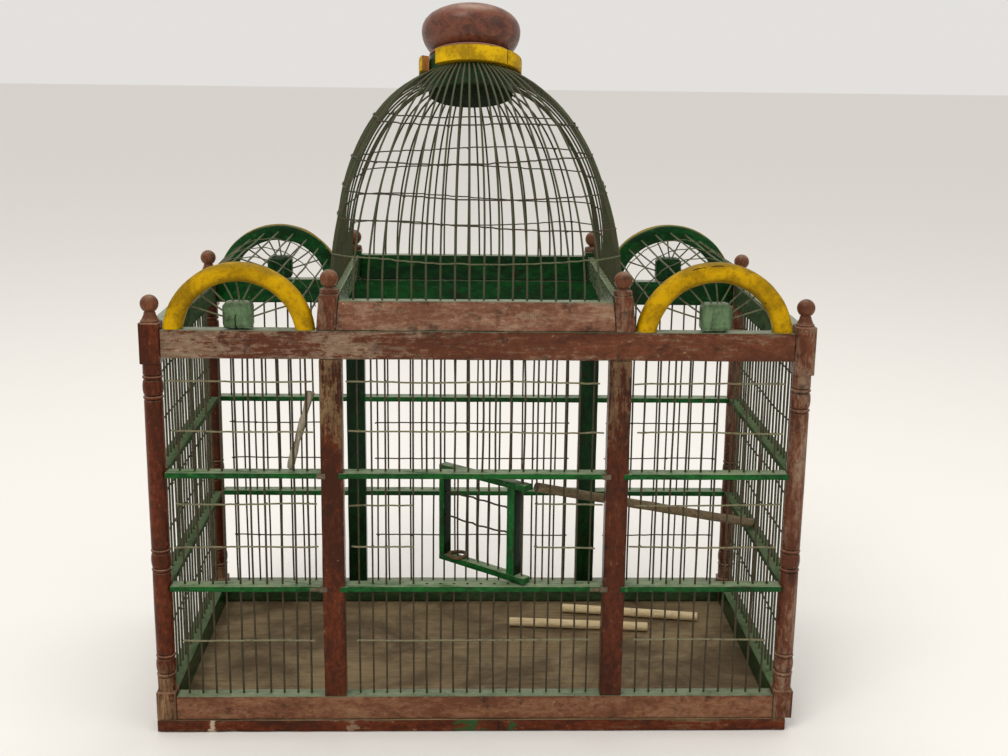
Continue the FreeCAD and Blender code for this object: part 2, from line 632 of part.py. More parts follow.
for side, sign in (("left", "-1"), ("right", "1")):
    half = "dome_board_thick / 2"
    lean = f"-({sign}) * board_lean"
    boards.append(padded(f"dome_{side}_board", [
        (f"-{half}", "0"), (half, "0"), (f"{half} + {lean}", "dome_board_height"),
        (f"-{half} + {lean}", "dome_board_height")],
        "2 * post_y - rail_depth", x=f"tower_shift + {sign} * dome_post_spacing / 2",
        y="post_y - rail_depth / 2", z="frame_top", **UPRIGHT))
node("dome_boards_side", group("dome_side_boards", boards))

# The crown: hub, collar blocks and knob on one axis that leans back
TILT = {"x": "crown_shift", "z": "crown_base", "axis": Vector(-1, 0, 0)}
hub = prism("Hub_core", CROWN_SIDES, "hub_radius", "hub_drop + collar_height", z="-hub_drop")
node("crown_hub", place(group("Hub", [hub]), angle="crown_tilt_angle", **TILT))
blocks = []
chords = CROWN_SIDES // 4
for quarter in range(4):
    first = f"({45 + 90 * quarter} + collar_joint_angle)"
    last = f"({135 + 90 * quarter} - collar_joint_angle)"
    outline = []
    for radius, steps in (("collar_radius", range(chords + 1)), ("collar_bore", range(chords, -1, -1))):
        for k in steps:
            turn = f"({first} + {k / chords} * ({last} - {first}))"
            outline.append((f"{radius} * cos{turn}", f"{radius} * sin{turn}"))
    blocks.append(padded(f"collar_block_{quarter}", outline, "collar_height"))
node("crown_collar", place(group("Collar", blocks), angle="crown_tilt_angle", **TILT))
knob_foot = "(collar_height + knob_neck_height)"
knob = turned("Knob", [("collar_height", "knob_neck_radius"), (knob_foot, "knob_neck_radius")] + [
    (f"{knob_foot} + {h} * knob_height", f"{r} * knob_radius") for r, h in KNOB_SHARES], sides=CROWN_SIDES)
node("crown_knob", place(knob, angle="crown_tilt_angle", **TILT))


# Dome wires: each rises from a base board and bends over to the collar in one upright plane
def dome_feet():
    """The foot of every dome wire, side by side round the base."""
    shift, front, side = size("tower_shift"), size("dome_front_y"), size("dome_side_x")
    half_front = size("board_half - board_lean")
    half_side = size("post_y - rail_depth / 2")
    steps = [2 * k / (DOME_SIDE_WIRES + 1) - 1 for k in range(FIRST_WIRE, DOME_SIDE_WIRES + 1)]
    return {
        "front": [Vector(shift + s * half_front, -front, 0) for s in steps],
        "right": [Vector(shift + side, s * half_side, 0) for s in steps],
        "rear": [Vector(shift - s * half_front, front, 0) for s in steps],
        "left": [Vector(shift - side, -s * half_side, 0) for s in steps],
    }


def dome_course(foot):
    """A dome wire's inward direction, its reach, the height where its bend starts, and the bend's radius."""
    centre = Vector(size("crown_shift"), 0, 0)
    outward = foot - Vector(size("tower_shift"), 0, 0)
    end = centre + outward.normalize() * size("hub_radius + 1.5 * wire_size")
    inward = end - foot
    reach = inward.Length
    tilt, turn = math.radians(size("crown_tilt_angle")), math.radians(size("wire_turn_angle"))
    end_height = size("crown_base") - end.y * math.tan(tilt) - size("wire_size + collar_clearance")
    start = max(end_height - reach / math.tan(turn / 2), size("board_top"))
    rise = end_height - start
    return inward.normalize(), reach, start, (reach ** 2 + rise ** 2) / (2 * reach)


def dome_wire(foot):
    """One dome wire: a bend of a few chords, on a straight foot where it has one, square in section."""
    inward, reach, start, radius = dome_course(foot)
    width = size("wire_size")
    turn = 2 * math.atan2(reach, math.sqrt(max(2 * reach * radius - reach ** 2, 0)))
    across = Vector(-inward.y, inward.x, 0)
    steps = [turn * k / DOME_WIRE_CHORDS for k in range(DOME_WIRE_CHORDS + 1)]
    outline = []
    for offset, order in ((width / 2, steps), (-width / 2, steps[::-1])):
        out = radius + offset
        edge = [(radius - out * math.cos(t), start + out * math.sin(t)) for t in order]
        foot_corner = [(-offset, size("board_top"))] if start > size("board_top") else []
        outline += foot_corner + edge if offset > 0 else edge + foot_corner
    corners = [Vector(foot.x, foot.y, h) + inward * u - across * (width / 2) for u, h in outline]
    return Part.Face(Part.makePolygon([*corners, corners[0]])).extrude(across * width)


def dome_corners(foot, height):
    """The two outer corners of a dome wire at a height."""
    inward, reach, start, radius = dome_course(foot)
    width = size("wire_size")
    turn = 2 * math.atan2(reach, math.sqrt(max(2 * reach * radius - reach ** 2, 0))) / DOME_WIRE_CHORDS
    outer = radius + width / 2
    edge = [(radius - outer * math.cos(k * turn), start + outer * math.sin(k * turn))
            for k in range(DOME_WIRE_CHORDS + 1)]
    depth = edge[0][0]
    for (u, h), (next_u, next_h) in zip(edge, edge[1:]):
        if h <= height <= next_h:
            depth = u + (next_u - u) * (height - h) / (next_h - h)
    across = Vector(-inward.y, inward.x, 0)
    point = Vector(foot.x, foot.y, height) + inward * depth
    return point - across * (width / 2), point + across * (width / 2)


feet = dome_feet()
for side, row in feet.items():
    wires = Part.makeCompound([dome_wire(foot) for foot in row])
    node(f"dome_wires_{side}", solid(f"dome_{side}_row", wires))


def dome_band(height):
    """A band round the dome, drawn tight on the wires that stand out furthest."""
    middle = Vector(size("tower_shift"), 0, height)
    ring = [foot for row in feet.values() for foot in row]
    corners = [[corner - middle for corner in dome_corners(foot, height)] for foot in ring]
    bends = [(corners[n][0] + corners[n][1]) / 2
             for n in (round(share * (DOME_SIDE_WIRES - 1)) + start
                       for start in range(0, len(corners), DOME_SIDE_WIRES) for share in BAND_BEND_SHARES)]
    pulls = []
    for one, two in zip(bends, bends[1:] + bends[:1]):
        side = two - one
        for corner in (corner for pair in corners for corner in pair):
            if one.cross(corner).z >= 0 and corner.cross(two).z >= 0:
                pulls.append(corner.cross(side).z / one.cross(side).z)
    tight = max(pulls)
    rings = []
    for widening in (0, size("tie_size")):
        loop = [middle + bend * tight + bend.normalize() * widening for bend in (Vector(b) for b in bends)]
        rings.append(Part.Face(Part.makePolygon([*loop, loop[0]])).extrude(Vector(0, 0, size("tie_size"))))
    return rings[1].cut(rings[0])


band_span = size("crown_base - board_top")
node("dome_bands", solid("Bands", Part.makeCompound(
    [dome_band(size("board_top") + share * band_span) for share in DOME_BAND_SHARES])))

# The vaults: an arch over the front rail and one over the rear rail, with wires between them
hubs = []
fans = []
for side in ("left", "right"):
    middle, span, base = f"{side}_vault_x", f"{side}_arch_span", f"frame_top - {side}_arch_drop"
    outline = rounded_outline(f"{side}_arch_radius - {side}_arch_band", "-arch_depth / 2",
                              f"{side}_arch_band", "arch_depth")
    section = [(size(radius), size(depth)) for radius, depth in outline]
    for wall, line in (("front", "-post_y"), ("rear", "post_y")):
        name = f"{wall}_{side}_arch"
        turns = [math.pi * k / ARCH_CHORDS for k in range(ARCH_CHORDS + 1)]
        ring = solid(f"{name}_ring", faceted([
            [Vector(r * math.cos(t), depth, r * math.sin(t)) for r, depth in section] for t in turns]))
        ground = box(f"{name}_ground", (f"-{span}", f"-{span}", f"-{span}"),
                     (f"2 * {span}", f"2 * {span}", f"{span} + {side}_arch_drop"))
        arch = cut(name, ring, [ground])
        arch = place(group(f"{name}_set", [arch]), x=middle, y=line, z=base)
        node(f"vault_arch_{wall}_{side}", arch)
        hub = padded(f"{wall}_{side}_hub",
                     [(f"{u} * {side}_hub_width", f"{v} * {side}_hub_height") for u, v in HUB_SHARES],
                     "vault_hub_depth", x=middle, y=f"{line} + vault_hub_depth / 2", z="frame_top", **UPRIGHT)
        hubs.append(hub)
        spokes = []
        for k in range(FAN_SPOKES):
            turn = f"({2 * k / (FAN_SPOKES - 1) - 1} * fan_angle / 2)"
            rise, limit = f"{side}_fan_rise", f"{side}_wire_radius"
            reach = f"sqrt({limit} ^ 2 - ({rise} * sin{turn}) ^ 2) - {rise} * cos{turn}"
            spokes.append(prism(f"{name}_spoke_{k}", 4, "wire_size / sqrt(2)", reach, x=middle, y=line,
                                z=f"{base} + {rise}", axis=Vector(0, 1, 0), angle=turn))
        fans.append(cut(f"{name}_fan", group(f"{name}_spokes", spokes), [hub, arch]))
    wires = []
    for k in range(VAULT_WIRES):
        angle = f"({2 * k / (VAULT_WIRES - 1) - 1} * vault_angle / 2)"
        wires.append(prism(f"{side}_vault_wire_{k}", 4, "wire_size / sqrt(2)", "2 * arch_back",
                           x=f"{middle} + {side}_wire_radius * sin{angle}", y="-arch_back",
                           z=f"{base} + {side}_wire_radius * cos{angle}",
                           axis=Vector(-1, 0, 0), angle="90"))
    for k, share in enumerate(HOOP_SHARES):
        outline = []
        for radius, steps in ((f"{side}_hoop_radius", range(HOOP_CHORDS + 1)),
                              (f"({side}_hoop_radius + tie_size)", range(HOOP_CHORDS, -1, -1))):
            for n in steps:
                turn = f"({2 * n / HOOP_CHORDS - 1} * vault_angle / 2)"
                outline.append((f"{radius} * sin{turn}", f"{radius} * cos{turn}"))
        wires.append(padded(f"{side}_hoop_{k}", outline, "tie_size", x=middle,
                            y=f"{2 * share - 1} * arch_back", z=base, **UPRIGHT))
    node(f"vault_wires_{side}", group(f"{side}_vault_set", wires))
node("vault_hubs", group("Hubs", hubs))
node("fan_wires", group("Fans", fans))


# Perches: a sloping dowel, a leaning stick and two dowels lying on the floor
def rod(name, radius, start, end):
    """A round stick between two points, each given by its three expressions."""
    steps = [f"({b} - ({a}))" for a, b in zip(start, end)]
    along = Vector(*[size(step) for step in steps])
    stick = prism(name, TURNED_SIDES, radius, "sqrt(" + " + ".join(f"{step} ^ 2" for step in steps) + ")")
    stick.Placement = FreeCAD.Placement(Vector(), Rotation(Vector(0, 0, 1), along))
    return place(stick, *start)


node("perch_dowel", rod(
    "Perch", "perch_radius",
    ("hinge_x + middle_pitch", f"-post_y + wire_size / 2 + {LEAN_SHARE} * perch_radius", "perch_top"),
    ("post_x + wire_size", f"end_wall_start + {PERCH_WIRE_NUMBER + PERCH_END_SHARE} * end_pitch",
     "low_rail_top + perch_radius + rest_clearance")))
stick_x = "left_stile_x - stile_width / 2 - stick_reach"
stick_y = "-post_y + wire_size / 2 + stick_radius + rest_clearance"
stick_z = "high_rail_top + stick_radius * sin(stick_lean_angle) + rest_clearance"
node("perch_stick", rod(
    "Stick", "stick_radius", (stick_x, stick_y, stick_z),
    (f"{stick_x} + stick_length * sin(stick_lean_angle)", stick_y,
     f"{stick_z} + stick_length * cos(stick_lean_angle)")))
dowels = []
for k, (x_share, y_share, turn) in enumerate(FLOOR_DOWEL_SHARES):
    across = f"dowel_length / 2 * cos({turn})", f"dowel_length / 2 * sin({turn})"
    height = "floor_thick + dowel_radius + rest_clearance"
    ends = [(f"{x_share} * cage_width {sign} {across[0]}",
             f"{y_share} * cage_depth {sign} {across[1]}", height) for sign in "-+"]
    dowels.append(rod(f"Floor_dowel_{k}", "dowel_radius", *ends))
node("floor_dowels", group("Floor_dowels", dowels))

doc.recompute()
for thing in doc.Objects:
    if "Invalid" in thing.State or "Error" in thing.State:
        raise RuntimeError(f"{thing.Name} did not compute: {thing.State}")
os.makedirs("parts", exist_ok=True)
for label, thing in nodes.items():
    shape = thing.Shape
    if shape.isNull() or not shape.isValid() or not shape.Solids:
        raise RuntimeError(f"{label} has no sound solid")
    shape.exportStep(f"parts/{label}.step")
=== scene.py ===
import random
from math import acos, atan2, copysign, cos, pi, radians, sin, tan

import bmesh
import bpy
from mathutils import Matrix, Vector, noise


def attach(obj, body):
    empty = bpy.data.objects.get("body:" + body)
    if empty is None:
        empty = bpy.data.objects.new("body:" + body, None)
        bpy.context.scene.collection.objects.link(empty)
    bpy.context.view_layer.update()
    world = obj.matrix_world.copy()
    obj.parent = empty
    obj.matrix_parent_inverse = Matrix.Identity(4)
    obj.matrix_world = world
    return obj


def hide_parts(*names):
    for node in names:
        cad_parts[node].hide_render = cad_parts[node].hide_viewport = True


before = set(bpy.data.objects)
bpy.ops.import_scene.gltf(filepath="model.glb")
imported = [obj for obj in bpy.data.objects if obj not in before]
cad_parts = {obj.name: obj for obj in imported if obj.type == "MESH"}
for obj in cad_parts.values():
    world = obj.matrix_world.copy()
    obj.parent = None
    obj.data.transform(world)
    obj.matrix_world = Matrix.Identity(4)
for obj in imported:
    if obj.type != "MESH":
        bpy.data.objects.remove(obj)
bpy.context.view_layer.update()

MM = 0.001
RANDOM_SEED = 11
random.seed(RANDOM_SEED)
noise.seed_set(RANDOM_SEED)


def jitter(amount):
    """A random share of an amount, either way."""
    return random.uniform(-amount, amount)


# Sizes of the solids that the dressed pieces follow, in millimetres
FLOOR, FRAME_TOP = 13, 392.5
POST_X, POST_Y, POST_SIDE = 295.5, 144.5, 19
POST_FOOT_TOP, POST_TOP = 41.8, 398.5
POST_HEAD_BASE = {"left": 360.6, "right": 353.5}
SHAFT_R, TURN_R, TURN_LENGTH, TURN_START = 8.7, 8.85, 24.5, -1.75
TURN_BASES = {"left": (56.8, 162.3, 327.8), "right": (56.8, 162.3, 318.3)}
BALL_R = 8.3
LOW_TOP, HIGH_TOP, CROSS_THICK = 148.4, 259.2, 5.8
WIRE, TIE = 1.8, 1.2
FIRST_WIRE_X, WIRE_PITCH = -124.4, 12.735
HINGE = Vector((41.1736, -144.5, 0))
DOOR_ANGLE = 41
DOOR_REACH, DOOR_BASE, DOOR_HEIGHT, DOOR_THICK, DOOR_RAIL = 100.2, 149.6, 98, 11, 6.5
DOOR_EAR, LATCH_STILE, HINGE_STILE_FAR, HINGE_STILE_NEAR = 6, 7, 15, 5.5
SHIFT, BOARD_TOP, BOARD_HALF, BOARD_DEPTH = -3.4, 420, 125.8, 14
DOME_POST_SPACING, DOME_POST_HEIGHT, DOME_LEAN = 269.62, 32.5, 3
DOME_FRONT_Y, DOME_SIDE_X, DOME_HALF_FRONT, DOME_HALF_SIDE = 146, 132.27, 123.27, 136
CROWN = Vector((-8.8, 0, 614.6))
TILT = radians(18)
HUB_R, HUB_FOOT, COLLAR_IN, COLLAR_OUT, COLLAR_H = 41, 20, 41.3, 49.4, 15.8
KNOB_R, KNOB_H, KNOB_GAP = 48, 44.5, 5.4
DOME_WIRES = 18
BAND_SHARES = (0.15, 0.31, 0.46, 0.61, 0.78)
ARCHES = {"left": (-216.6, 137.0), "right": (213.2, 143.7)}
ARCH_RISE, ARCH_BAND, ARCH_DEPTH = 0.44, 0.124, 17
ARCH_HUB_WIDTH, ARCH_HUB_HEIGHT, ARCH_HUB_DEPTH = 0.197, 0.186, 17
VAULT_WIRES, VAULT_ANGLE, VAULT_REACH = 11, 75, 273
UP = Vector((0, 0, 1))
WALLS = (("front", -1), ("rear", 1))


# Materials
def linear(rgb):
    """A colour given as it looks on screen, in 0 to 255, as the renderer wants it."""
    scaled = [c / 255 for c in rgb]
    return tuple(c / 12.92 if c <= 0.04045 else ((c + 0.055) / 1.055) ** 2.4 for c in scaled) + (1,)


class Shade:
    """A node material, with short ways to add its nodes."""

    def __init__(self, name):
        self.material = bpy.data.materials.new(name)
        self.material.use_nodes = True
        self.tree = self.material.node_tree
        self.shader = self.tree.nodes["Principled BSDF"]
        self.coords = self.add("TexCoord", {}).outputs["Object"]

    def feed(self, node, values):
        """Gives a node's inputs, by name or number, a link or a plain value."""
        for key, value in values.items():
            if isinstance(value, bpy.types.NodeSocket):
                self.tree.links.new(value, node.inputs[key])
            else:
                node.inputs[key].default_value = value

    def add(self, kind, values, **settings):
        made = self.tree.nodes.new("ShaderNode" + kind)
        for key, value in settings.items():
            setattr(made, key, value)
        self.feed(made, values)
        return made

    def noise(self, scale, detail=4, rough=0.7, bend=0.0):
        """Noise at one scale, or at one for each axis."""
        scales = scale if isinstance(scale, tuple) else (scale, scale, scale)
        spot = self.add("Mapping", {"Vector": self.coords, "Scale": scales}).outputs[0]
        values = {"Vector": spot, "Scale": 1, "Detail": detail, "Roughness": rough, "Distortion": bend}
        return self.add("TexNoise", values).outputs[0]

    def between(self, source, low, high):
        return self.add("MapRange", {0: source, 1: low, 2: high}, interpolation_type="SMOOTHSTEP").outputs[0]

    def sum(self, one, two, how="ADD"):
        return self.add("Math", {0: one, 1: two}, operation=how).outputs[0]

    def times(self, one, two):
        return self.sum(one, two, "MULTIPLY")

    def mix(self, share, one, two):
        one, two = [linear(tone) if isinstance(tone, tuple) else tone for tone in (one, two)]
        return self.add("Mix", {0: share, 6: one, 7: two}, data_type="RGBA").outputs[2]

    def stain(self, colour, share, amount, tone):
        """A tone laid over a colour where share is high."""
        return self.mix(self.times(share, amount), colour, tone)

    def edge(self):
        return self.add("Attribute", {}, attribute_name="edge").outputs["Fac"]

    def part(self, vector, letter):
        return self.add("SeparateXYZ", {0: vector}).outputs[letter]

    def upward(self, low=0.35, high=0.95):
        """How far a face looks up, from 0 to 1."""
        normal = self.add("NewGeometry", {}).outputs["Normal"]
        return self.between(self.part(normal, "Z"), low, high)

    def finish(self, colour, rough, height=None, strength=0.3, reach=0.0006, gloss=0.22):
        self.feed(self.shader, {"Base Color": colour, "Roughness": rough, "Specular IOR Level": gloss})
        if height is not None:
            bump = self.add("Bump", {"Strength": strength, "Distance": reach, "Height": height})
            self.feed(self.shader, {"Normal": bump.outputs[0]})
        return self.material


def along(axis, fine, long):
    """Texture scales that draw features out along one axis."""
    return tuple(long if letter == axis else fine for letter in "xyz")


PIT, GRIME, EDGE_SHADE_AND_GRIME = (34, 24, 18), (36, 26, 19), (30, 22, 16)


def worn_paint(name, axis, palette, wear, soft=0.06, dust_and_sheen=None, fade=None, marks=(), gloss=0.12):
    """Old paint on wood, flaked and rubbed through along the grain and at the edges, where painted shade also
    darkens it. Dust on top, which on the balls also paints a grey sheen, is (tone, share), a fade (letter,
    where it starts, where it is full, amount of wear), and a mark (place along x, half width, raggedness,
    colour)."""
    coat, coat_two, under, under_two = palette
    shade = Shade(name)
    broad = shade.noise(along(axis, 34, 10), 5, 0.65, 0.4)
    streak = shade.noise(along(axis, 300, 30), 5, 0.7, 0.6)
    flake = shade.noise(along(axis, 210, 120), 6, 0.78, 0.3)
    fine = shade.noise(1100, 3, 0.6)
    coat_tone = shade.mix(shade.between(shade.times(broad, flake), 0.17, 0.33), coat_two, coat)
    under_tone = shade.mix(shade.between(streak, 0.36, 0.62), under, under_two)
    rub = shade.sum(shade.times(broad, 0.45), shade.times(streak, 0.45))
    rub = shade.sum(rub, shade.times(flake, 0.30))
    rub = shade.sum(rub, shade.times(shade.edge(), 0.035))
    if fade:
        letter, begin, full, amount = fade
        faded = shade.between(shade.part(shade.coords, letter), begin, full)
        rub = shade.sum(rub, shade.times(faded, amount))
    bare = shade.between(rub, wear, wear + soft)
    colour = shade.mix(bare, coat_tone, under_tone)
    chips = shade.between(shade.sum(flake, shade.times(shade.edge(), 0.03)), 0.63, 0.68)
    colour = shade.stain(colour, chips, 0.8, under)
    pits = shade.between(shade.times(streak, fine), 0.34, 0.40)
    colour = shade.stain(colour, pits, 0.7, PIT)
    grime = shade.between(shade.noise(60), 0.52, 0.72)
    colour = shade.stain(colour, grime, 0.65, GRIME)
    # Edges and grooves are darkened: painted shade where parts meet and in the grooves, with some grime.
    colour = shade.stain(colour, shade.edge(), 0.28, EDGE_SHADE_AND_GRIME)
    for spot, half, ragged, tone in marks:
        away = shade.sum(shade.sum(shade.part(shade.coords, "X"), spot, "SUBTRACT"), 0.0, "ABSOLUTE")
        away = shade.sum(away, shade.times(shade.sum(flake, 0.5, "SUBTRACT"), ragged))
        colour = shade.mix(shade.between(away, half, half * 0.6), colour, tone)
    # Dust on faces that look up; on the balls it also paints a grey sheen, a painted highlight.
    if dust_and_sheen:
        film = shade.between(shade.noise(along(axis, 90, 26), 5, 0.75), 0.26, 0.60)
        tone, share = dust_and_sheen
        colour = shade.stain(colour, shade.times(shade.upward(), film), share, tone)
    height = shade.sum(shade.times(streak, 0.5), shade.times(bare, -0.5))
    height = shade.sum(height, shade.times(pits, -0.8))
    rough = shade.mix(bare, (140, 140, 140), (210, 210, 210))
    return shade.finish(colour, rough, height, 0.6, gloss=gloss)


def yellow_paint(name, coat, coat_two):
    """Yellow paint with dirt, a film on top, painted shade on the underside and chips."""
    shade = Shade(name)
    broad = shade.noise(30, 4, 0.55, 0.5)
    fine = shade.noise(260)
    colour = shade.mix(shade.between(broad, 0.36, 0.62), coat, coat_two)
    dirt = shade.between(shade.sum(shade.times(broad, 0.4), shade.times(fine, 0.6)), 0.46, 0.60)
    colour = shade.stain(colour, dirt, 0.45, (104, 78, 4))
    film = shade.between(shade.noise((40, 70, 70), 4, 0.7, 0.6), 0.34, 0.62)
    colour = shade.stain(colour, shade.times(shade.upward(0.2, 0.8), film), 0.75, (124, 102, 24))
    # Faces that look down are darkened: painted shade on the underside.
    colour = shade.stain(colour, shade.upward(-0.05, -0.75), 0.6, (92, 70, 6))
    flakes = shade.noise(330, 4, 0.75)
    chips = shade.between(shade.sum(flakes, shade.times(shade.edge(), 0.08)), 0.66, 0.71)
    colour = shade.mix(chips, colour, (70, 52, 24))
    return shade.finish(colour, 0.55, shade.sum(fine, shade.times(chips, -1.0)), 0.5, gloss=0.08)


def wire_paint(name, coat, rust, share):
    """Iron wire with old paint; a higher share leaves less rust."""
    shade = Shade(name)
    patch = shade.noise((190, 190, 110))
    colour = shade.mix(shade.between(patch, share - 0.08, share + 0.1), coat, rust)
    speck = shade.between(shade.noise((900, 900, 500), 3, 0.7), 0.56, 0.68)
    colour = shade.stain(colour, speck, 0.5, (104, 98, 76))
    return shade.finish(colour, 0.55, patch, 0.4, 0.0003)


def bare_wood(name, light, dark, axis):
    shade = Shade(name)
    grain = shade.noise(along(axis, 420, 12), 5, 0.65, 0.8)
    colour = shade.mix(shade.between(grain, 0.34, 0.66), light, dark)
    spot = shade.between(shade.noise(90), 0.58, 0.74)
    colour = shade.stain(colour, spot, 0.5, (92, 76, 60))
    return shade.finish(colour, 0.72, grain, 0.35)


def knob_paint(name):
    shade = Shade(name)
    mottle = shade.noise((60, 60, 90), 6, 0.72, 0.7)
    colour = shade.mix(shade.between(mottle, 0.36, 0.62), (116, 66, 48), (72, 41, 30))
    pale = shade.between(shade.noise(240, 4, 0.75), 0.60, 0.70)
    colour = shade.stain(colour, pale, 0.55, (150, 104, 84))
    # Where the edge mark is high, on the bead under the knob, the paint is pale: a painted highlight.
    colour = shade.stain(colour, shade.edge(), 0.8, (164, 116, 100))
    film = shade.between(shade.noise(40), 0.3, 0.7)
    colour = shade.stain(colour, shade.times(shade.upward(), film), 0.8, (152, 120, 102))
    return shade.finish(colour, shade.mix(mottle, (110, 110, 110), (190, 190, 190)), mottle, 0.25, gloss=0.3)


def floor_stain(name):
    shade = Shade(name)
    broad = shade.noise((11, 14, 11), 6, 0.7, 0.6)
    grain = shade.noise((12, 240, 240), 5, 0.7, 0.4)
    colour = shade.mix(shade.between(broad, 0.34, 0.66), (142, 122, 90), (90, 74, 52))
    colour = shade.stain(colour, shade.between(grain, 0.45, 0.7), 0.5, (76, 60, 42))
    spill = shade.between(shade.noise((16, 20, 16), 5, 0.7, 0.3), 0.54, 0.76)
    colour = shade.stain(colour, spill, 0.5, (164, 146, 116))
    return shade.finish(colour, 0.8, grain, 0.3)


def dull(name, one, two):
    shade = Shade(name)
    mottle = shade.noise(160)
    return shade.finish(shade.mix(shade.between(mottle, 0.4, 0.65), one, two), 0.9, mottle, 0.3, gloss=0.05)


# Palettes of the painted wood: two tones of coat and two of the wood under it
RED = ((98, 43, 20), (62, 28, 13), (146, 114, 84), (94, 67, 44))
WORN_RED = ((104, 59, 38), (80, 44, 29), (156, 136, 114), (120, 97, 77))
BALL_RED = ((114, 69, 46), (86, 50, 33), (148, 117, 92), (112, 83, 60))
# The pale lips on the posts' grooves are a painted highlight, partly worn paint.
LIP_HIGHLIGHT_RED = ((148, 108, 84), (118, 82, 62), (182, 158, 134), (146, 118, 96))
STILE_RED = ((94, 42, 19), (58, 27, 12), (142, 118, 87), (100, 77, 51))
DARK_STILE = ((84, 39, 20), (54, 26, 13), (132, 108, 80), (92, 70, 48))
PALE_RED = ((137, 98, 76), (105, 67, 50), (174, 152, 128), (136, 111, 90))
BOTTOM_RED = ((129, 88, 63), (96, 58, 39), (160, 134, 106), (122, 95, 71))
GREEN = ((18, 92, 34), (10, 58, 22), (104, 128, 86), (58, 84, 50))
INNER = ((14, 68, 25), (7, 38, 15), (64, 92, 54), (34, 58, 30))
INNER_GREY = ((62, 80, 50), (42, 58, 34), (86, 100, 72), (50, 62, 40))
DUSTY = ((116, 125, 98), (90, 102, 78), (142, 149, 122), (80, 88, 66))
TONGUE = ((112, 100, 82), (88, 78, 62), (138, 126, 106), (84, 72, 56))
GREY_GREEN = ((78, 97, 68), (58, 76, 52), (106, 121, 92), (54, 66, 45))
MID_GREEN = ((15, 76, 29), (9, 47, 18), (84, 110, 70), (46, 70, 40))
HUB_GREEN = ((28, 66, 34), (30, 38, 22), (74, 61, 43), (52, 46, 32))
SAGE = ((96, 120, 86), (66, 90, 60), (138, 152, 122), (58, 76, 54))
STILE_GREEN = ((11, 50, 19), (6, 28, 11), (46, 66, 36), (26, 44, 22))
HINGE_SIDE_SHADE_GREEN = ((10, 36, 15), (6, 22, 10), (30, 52, 26), (18, 34, 16))

# Dust, with a painted sheen on the balls, and the crack drawn as a dark line of painted shade, bare spots and
# green smears on the floor board's edge
DUST, RED_DUST, WORN_DUST_AND_SHEEN, PALE_DUST = (134, 147, 114), (134, 108, 88), (146, 122, 100), (150, 124, 102)
FLOOR_MARKS = (
    (0.0207, 0.0006, 0.0, (26, 18, 13)), (-0.253, 0.0028, 0.02, (176, 158, 136)),
    (-0.006, 0.010, 0.10, (40, 74, 38)), (0.034, 0.004, 0.07, (46, 74, 40)),
    (-0.12, 0.004, 0.05, (128, 104, 84)))

# Painted wood: key, name, grain axes, palette and settings. With two axes or more, each gets its own material
PAINTED = (
    ("red", "red_paint", "xyz", RED, dict(wear=0.645, dust_and_sheen=(RED_DUST, 0.4))),
    ("worn", "worn_red", "yz", WORN_RED, dict(wear=0.585, dust_and_sheen=(WORN_DUST_AND_SHEEN, 0.5), soft=0.13)),
    ("green", "green_paint", "xz", GREEN, dict(wear=0.72, dust_and_sheen=(DUST, 0.9))),
    ("inner", "green_inside", "xyz", INNER, dict(wear=0.75, dust_and_sheen=(DUST, 0.25))),
    ("dusty", "green_dusty", "xy", DUSTY, dict(wear=0.66, dust_and_sheen=(DUST, 0.5))),
    ("top_rail", "red_paint_top_rail", "x", WORN_RED,
     dict(wear=0.64, soft=0.09, dust_and_sheen=(WORN_DUST_AND_SHEEN, 0.5), fade=("X", 0.12, -0.12, 0.075))),
    # On the balls the dust on top also paints a grey sheen: a painted highlight.
    ("finial", "red_paint_ball", "z", BALL_RED, dict(wear=0.64, dust_and_sheen=(WORN_DUST_AND_SHEEN, 0.5), soft=0.13)),
    ("lip", "red_paint_lips", "z", LIP_HIGHLIGHT_RED, dict(wear=0.62, soft=0.13)),
    ("crown_hub", "green_crown_hub", "z", HUB_GREEN, dict(wear=0.63, soft=0.12)),
    ("tongue", "bare_rail_end", "x", TONGUE, dict(wear=0.64, soft=0.13)),
    ("grey_y", "green_grey_ends", "y", GREY_GREEN, dict(wear=0.70, dust_and_sheen=(DUST, 0.3), gloss=0.0)),
    ("inner_grey", "green_inside_rear", "x", INNER_GREY, dict(wear=0.74)),
    ("post_left", "red_paint_post_left", "z", RED,
     dict(wear=0.645, dust_and_sheen=(RED_DUST, 0.4), fade=("Z", 0.092, 0.050, 0.13), soft=0.10)),
    ("mid_x", "green_mid", "x", MID_GREEN, dict(wear=0.73, dust_and_sheen=(DUST, 0.4))),
    ("deep", "green_door_side_painted_shade", "z", HINGE_SIDE_SHADE_GREEN, dict(wear=0.75)),
    ("deep_stile", "green_rear_stile", "z", STILE_GREEN, dict(wear=0.75)),
    ("sage", "sage_paint", "z", SAGE, dict(wear=0.67, dust_and_sheen=(DUST, 0.4))),
    ("pale_x", "pale_red_board", "x", PALE_RED, dict(wear=0.585, dust_and_sheen=(PALE_DUST, 0.5), soft=0.13)),
    ("stile", "red_paint_stile", "z", STILE_RED, dict(wear=0.665, fade=("Z", 0.23, 0.35, 0.14), soft=0.09)),
    ("stile_right", "red_paint_stile_right", "z", DARK_STILE,
     dict(wear=0.675, fade=("Z", 0.23, 0.35, 0.11), soft=0.09)),
    ("bottom_rail", "red_paint_bottom_rail", "x", BOTTOM_RED, dict(wear=0.62, soft=0.16)),
    ("floor_edge", "red_paint_floor_edge", "x", RED, dict(wear=0.65, marks=FLOOR_MARKS)))
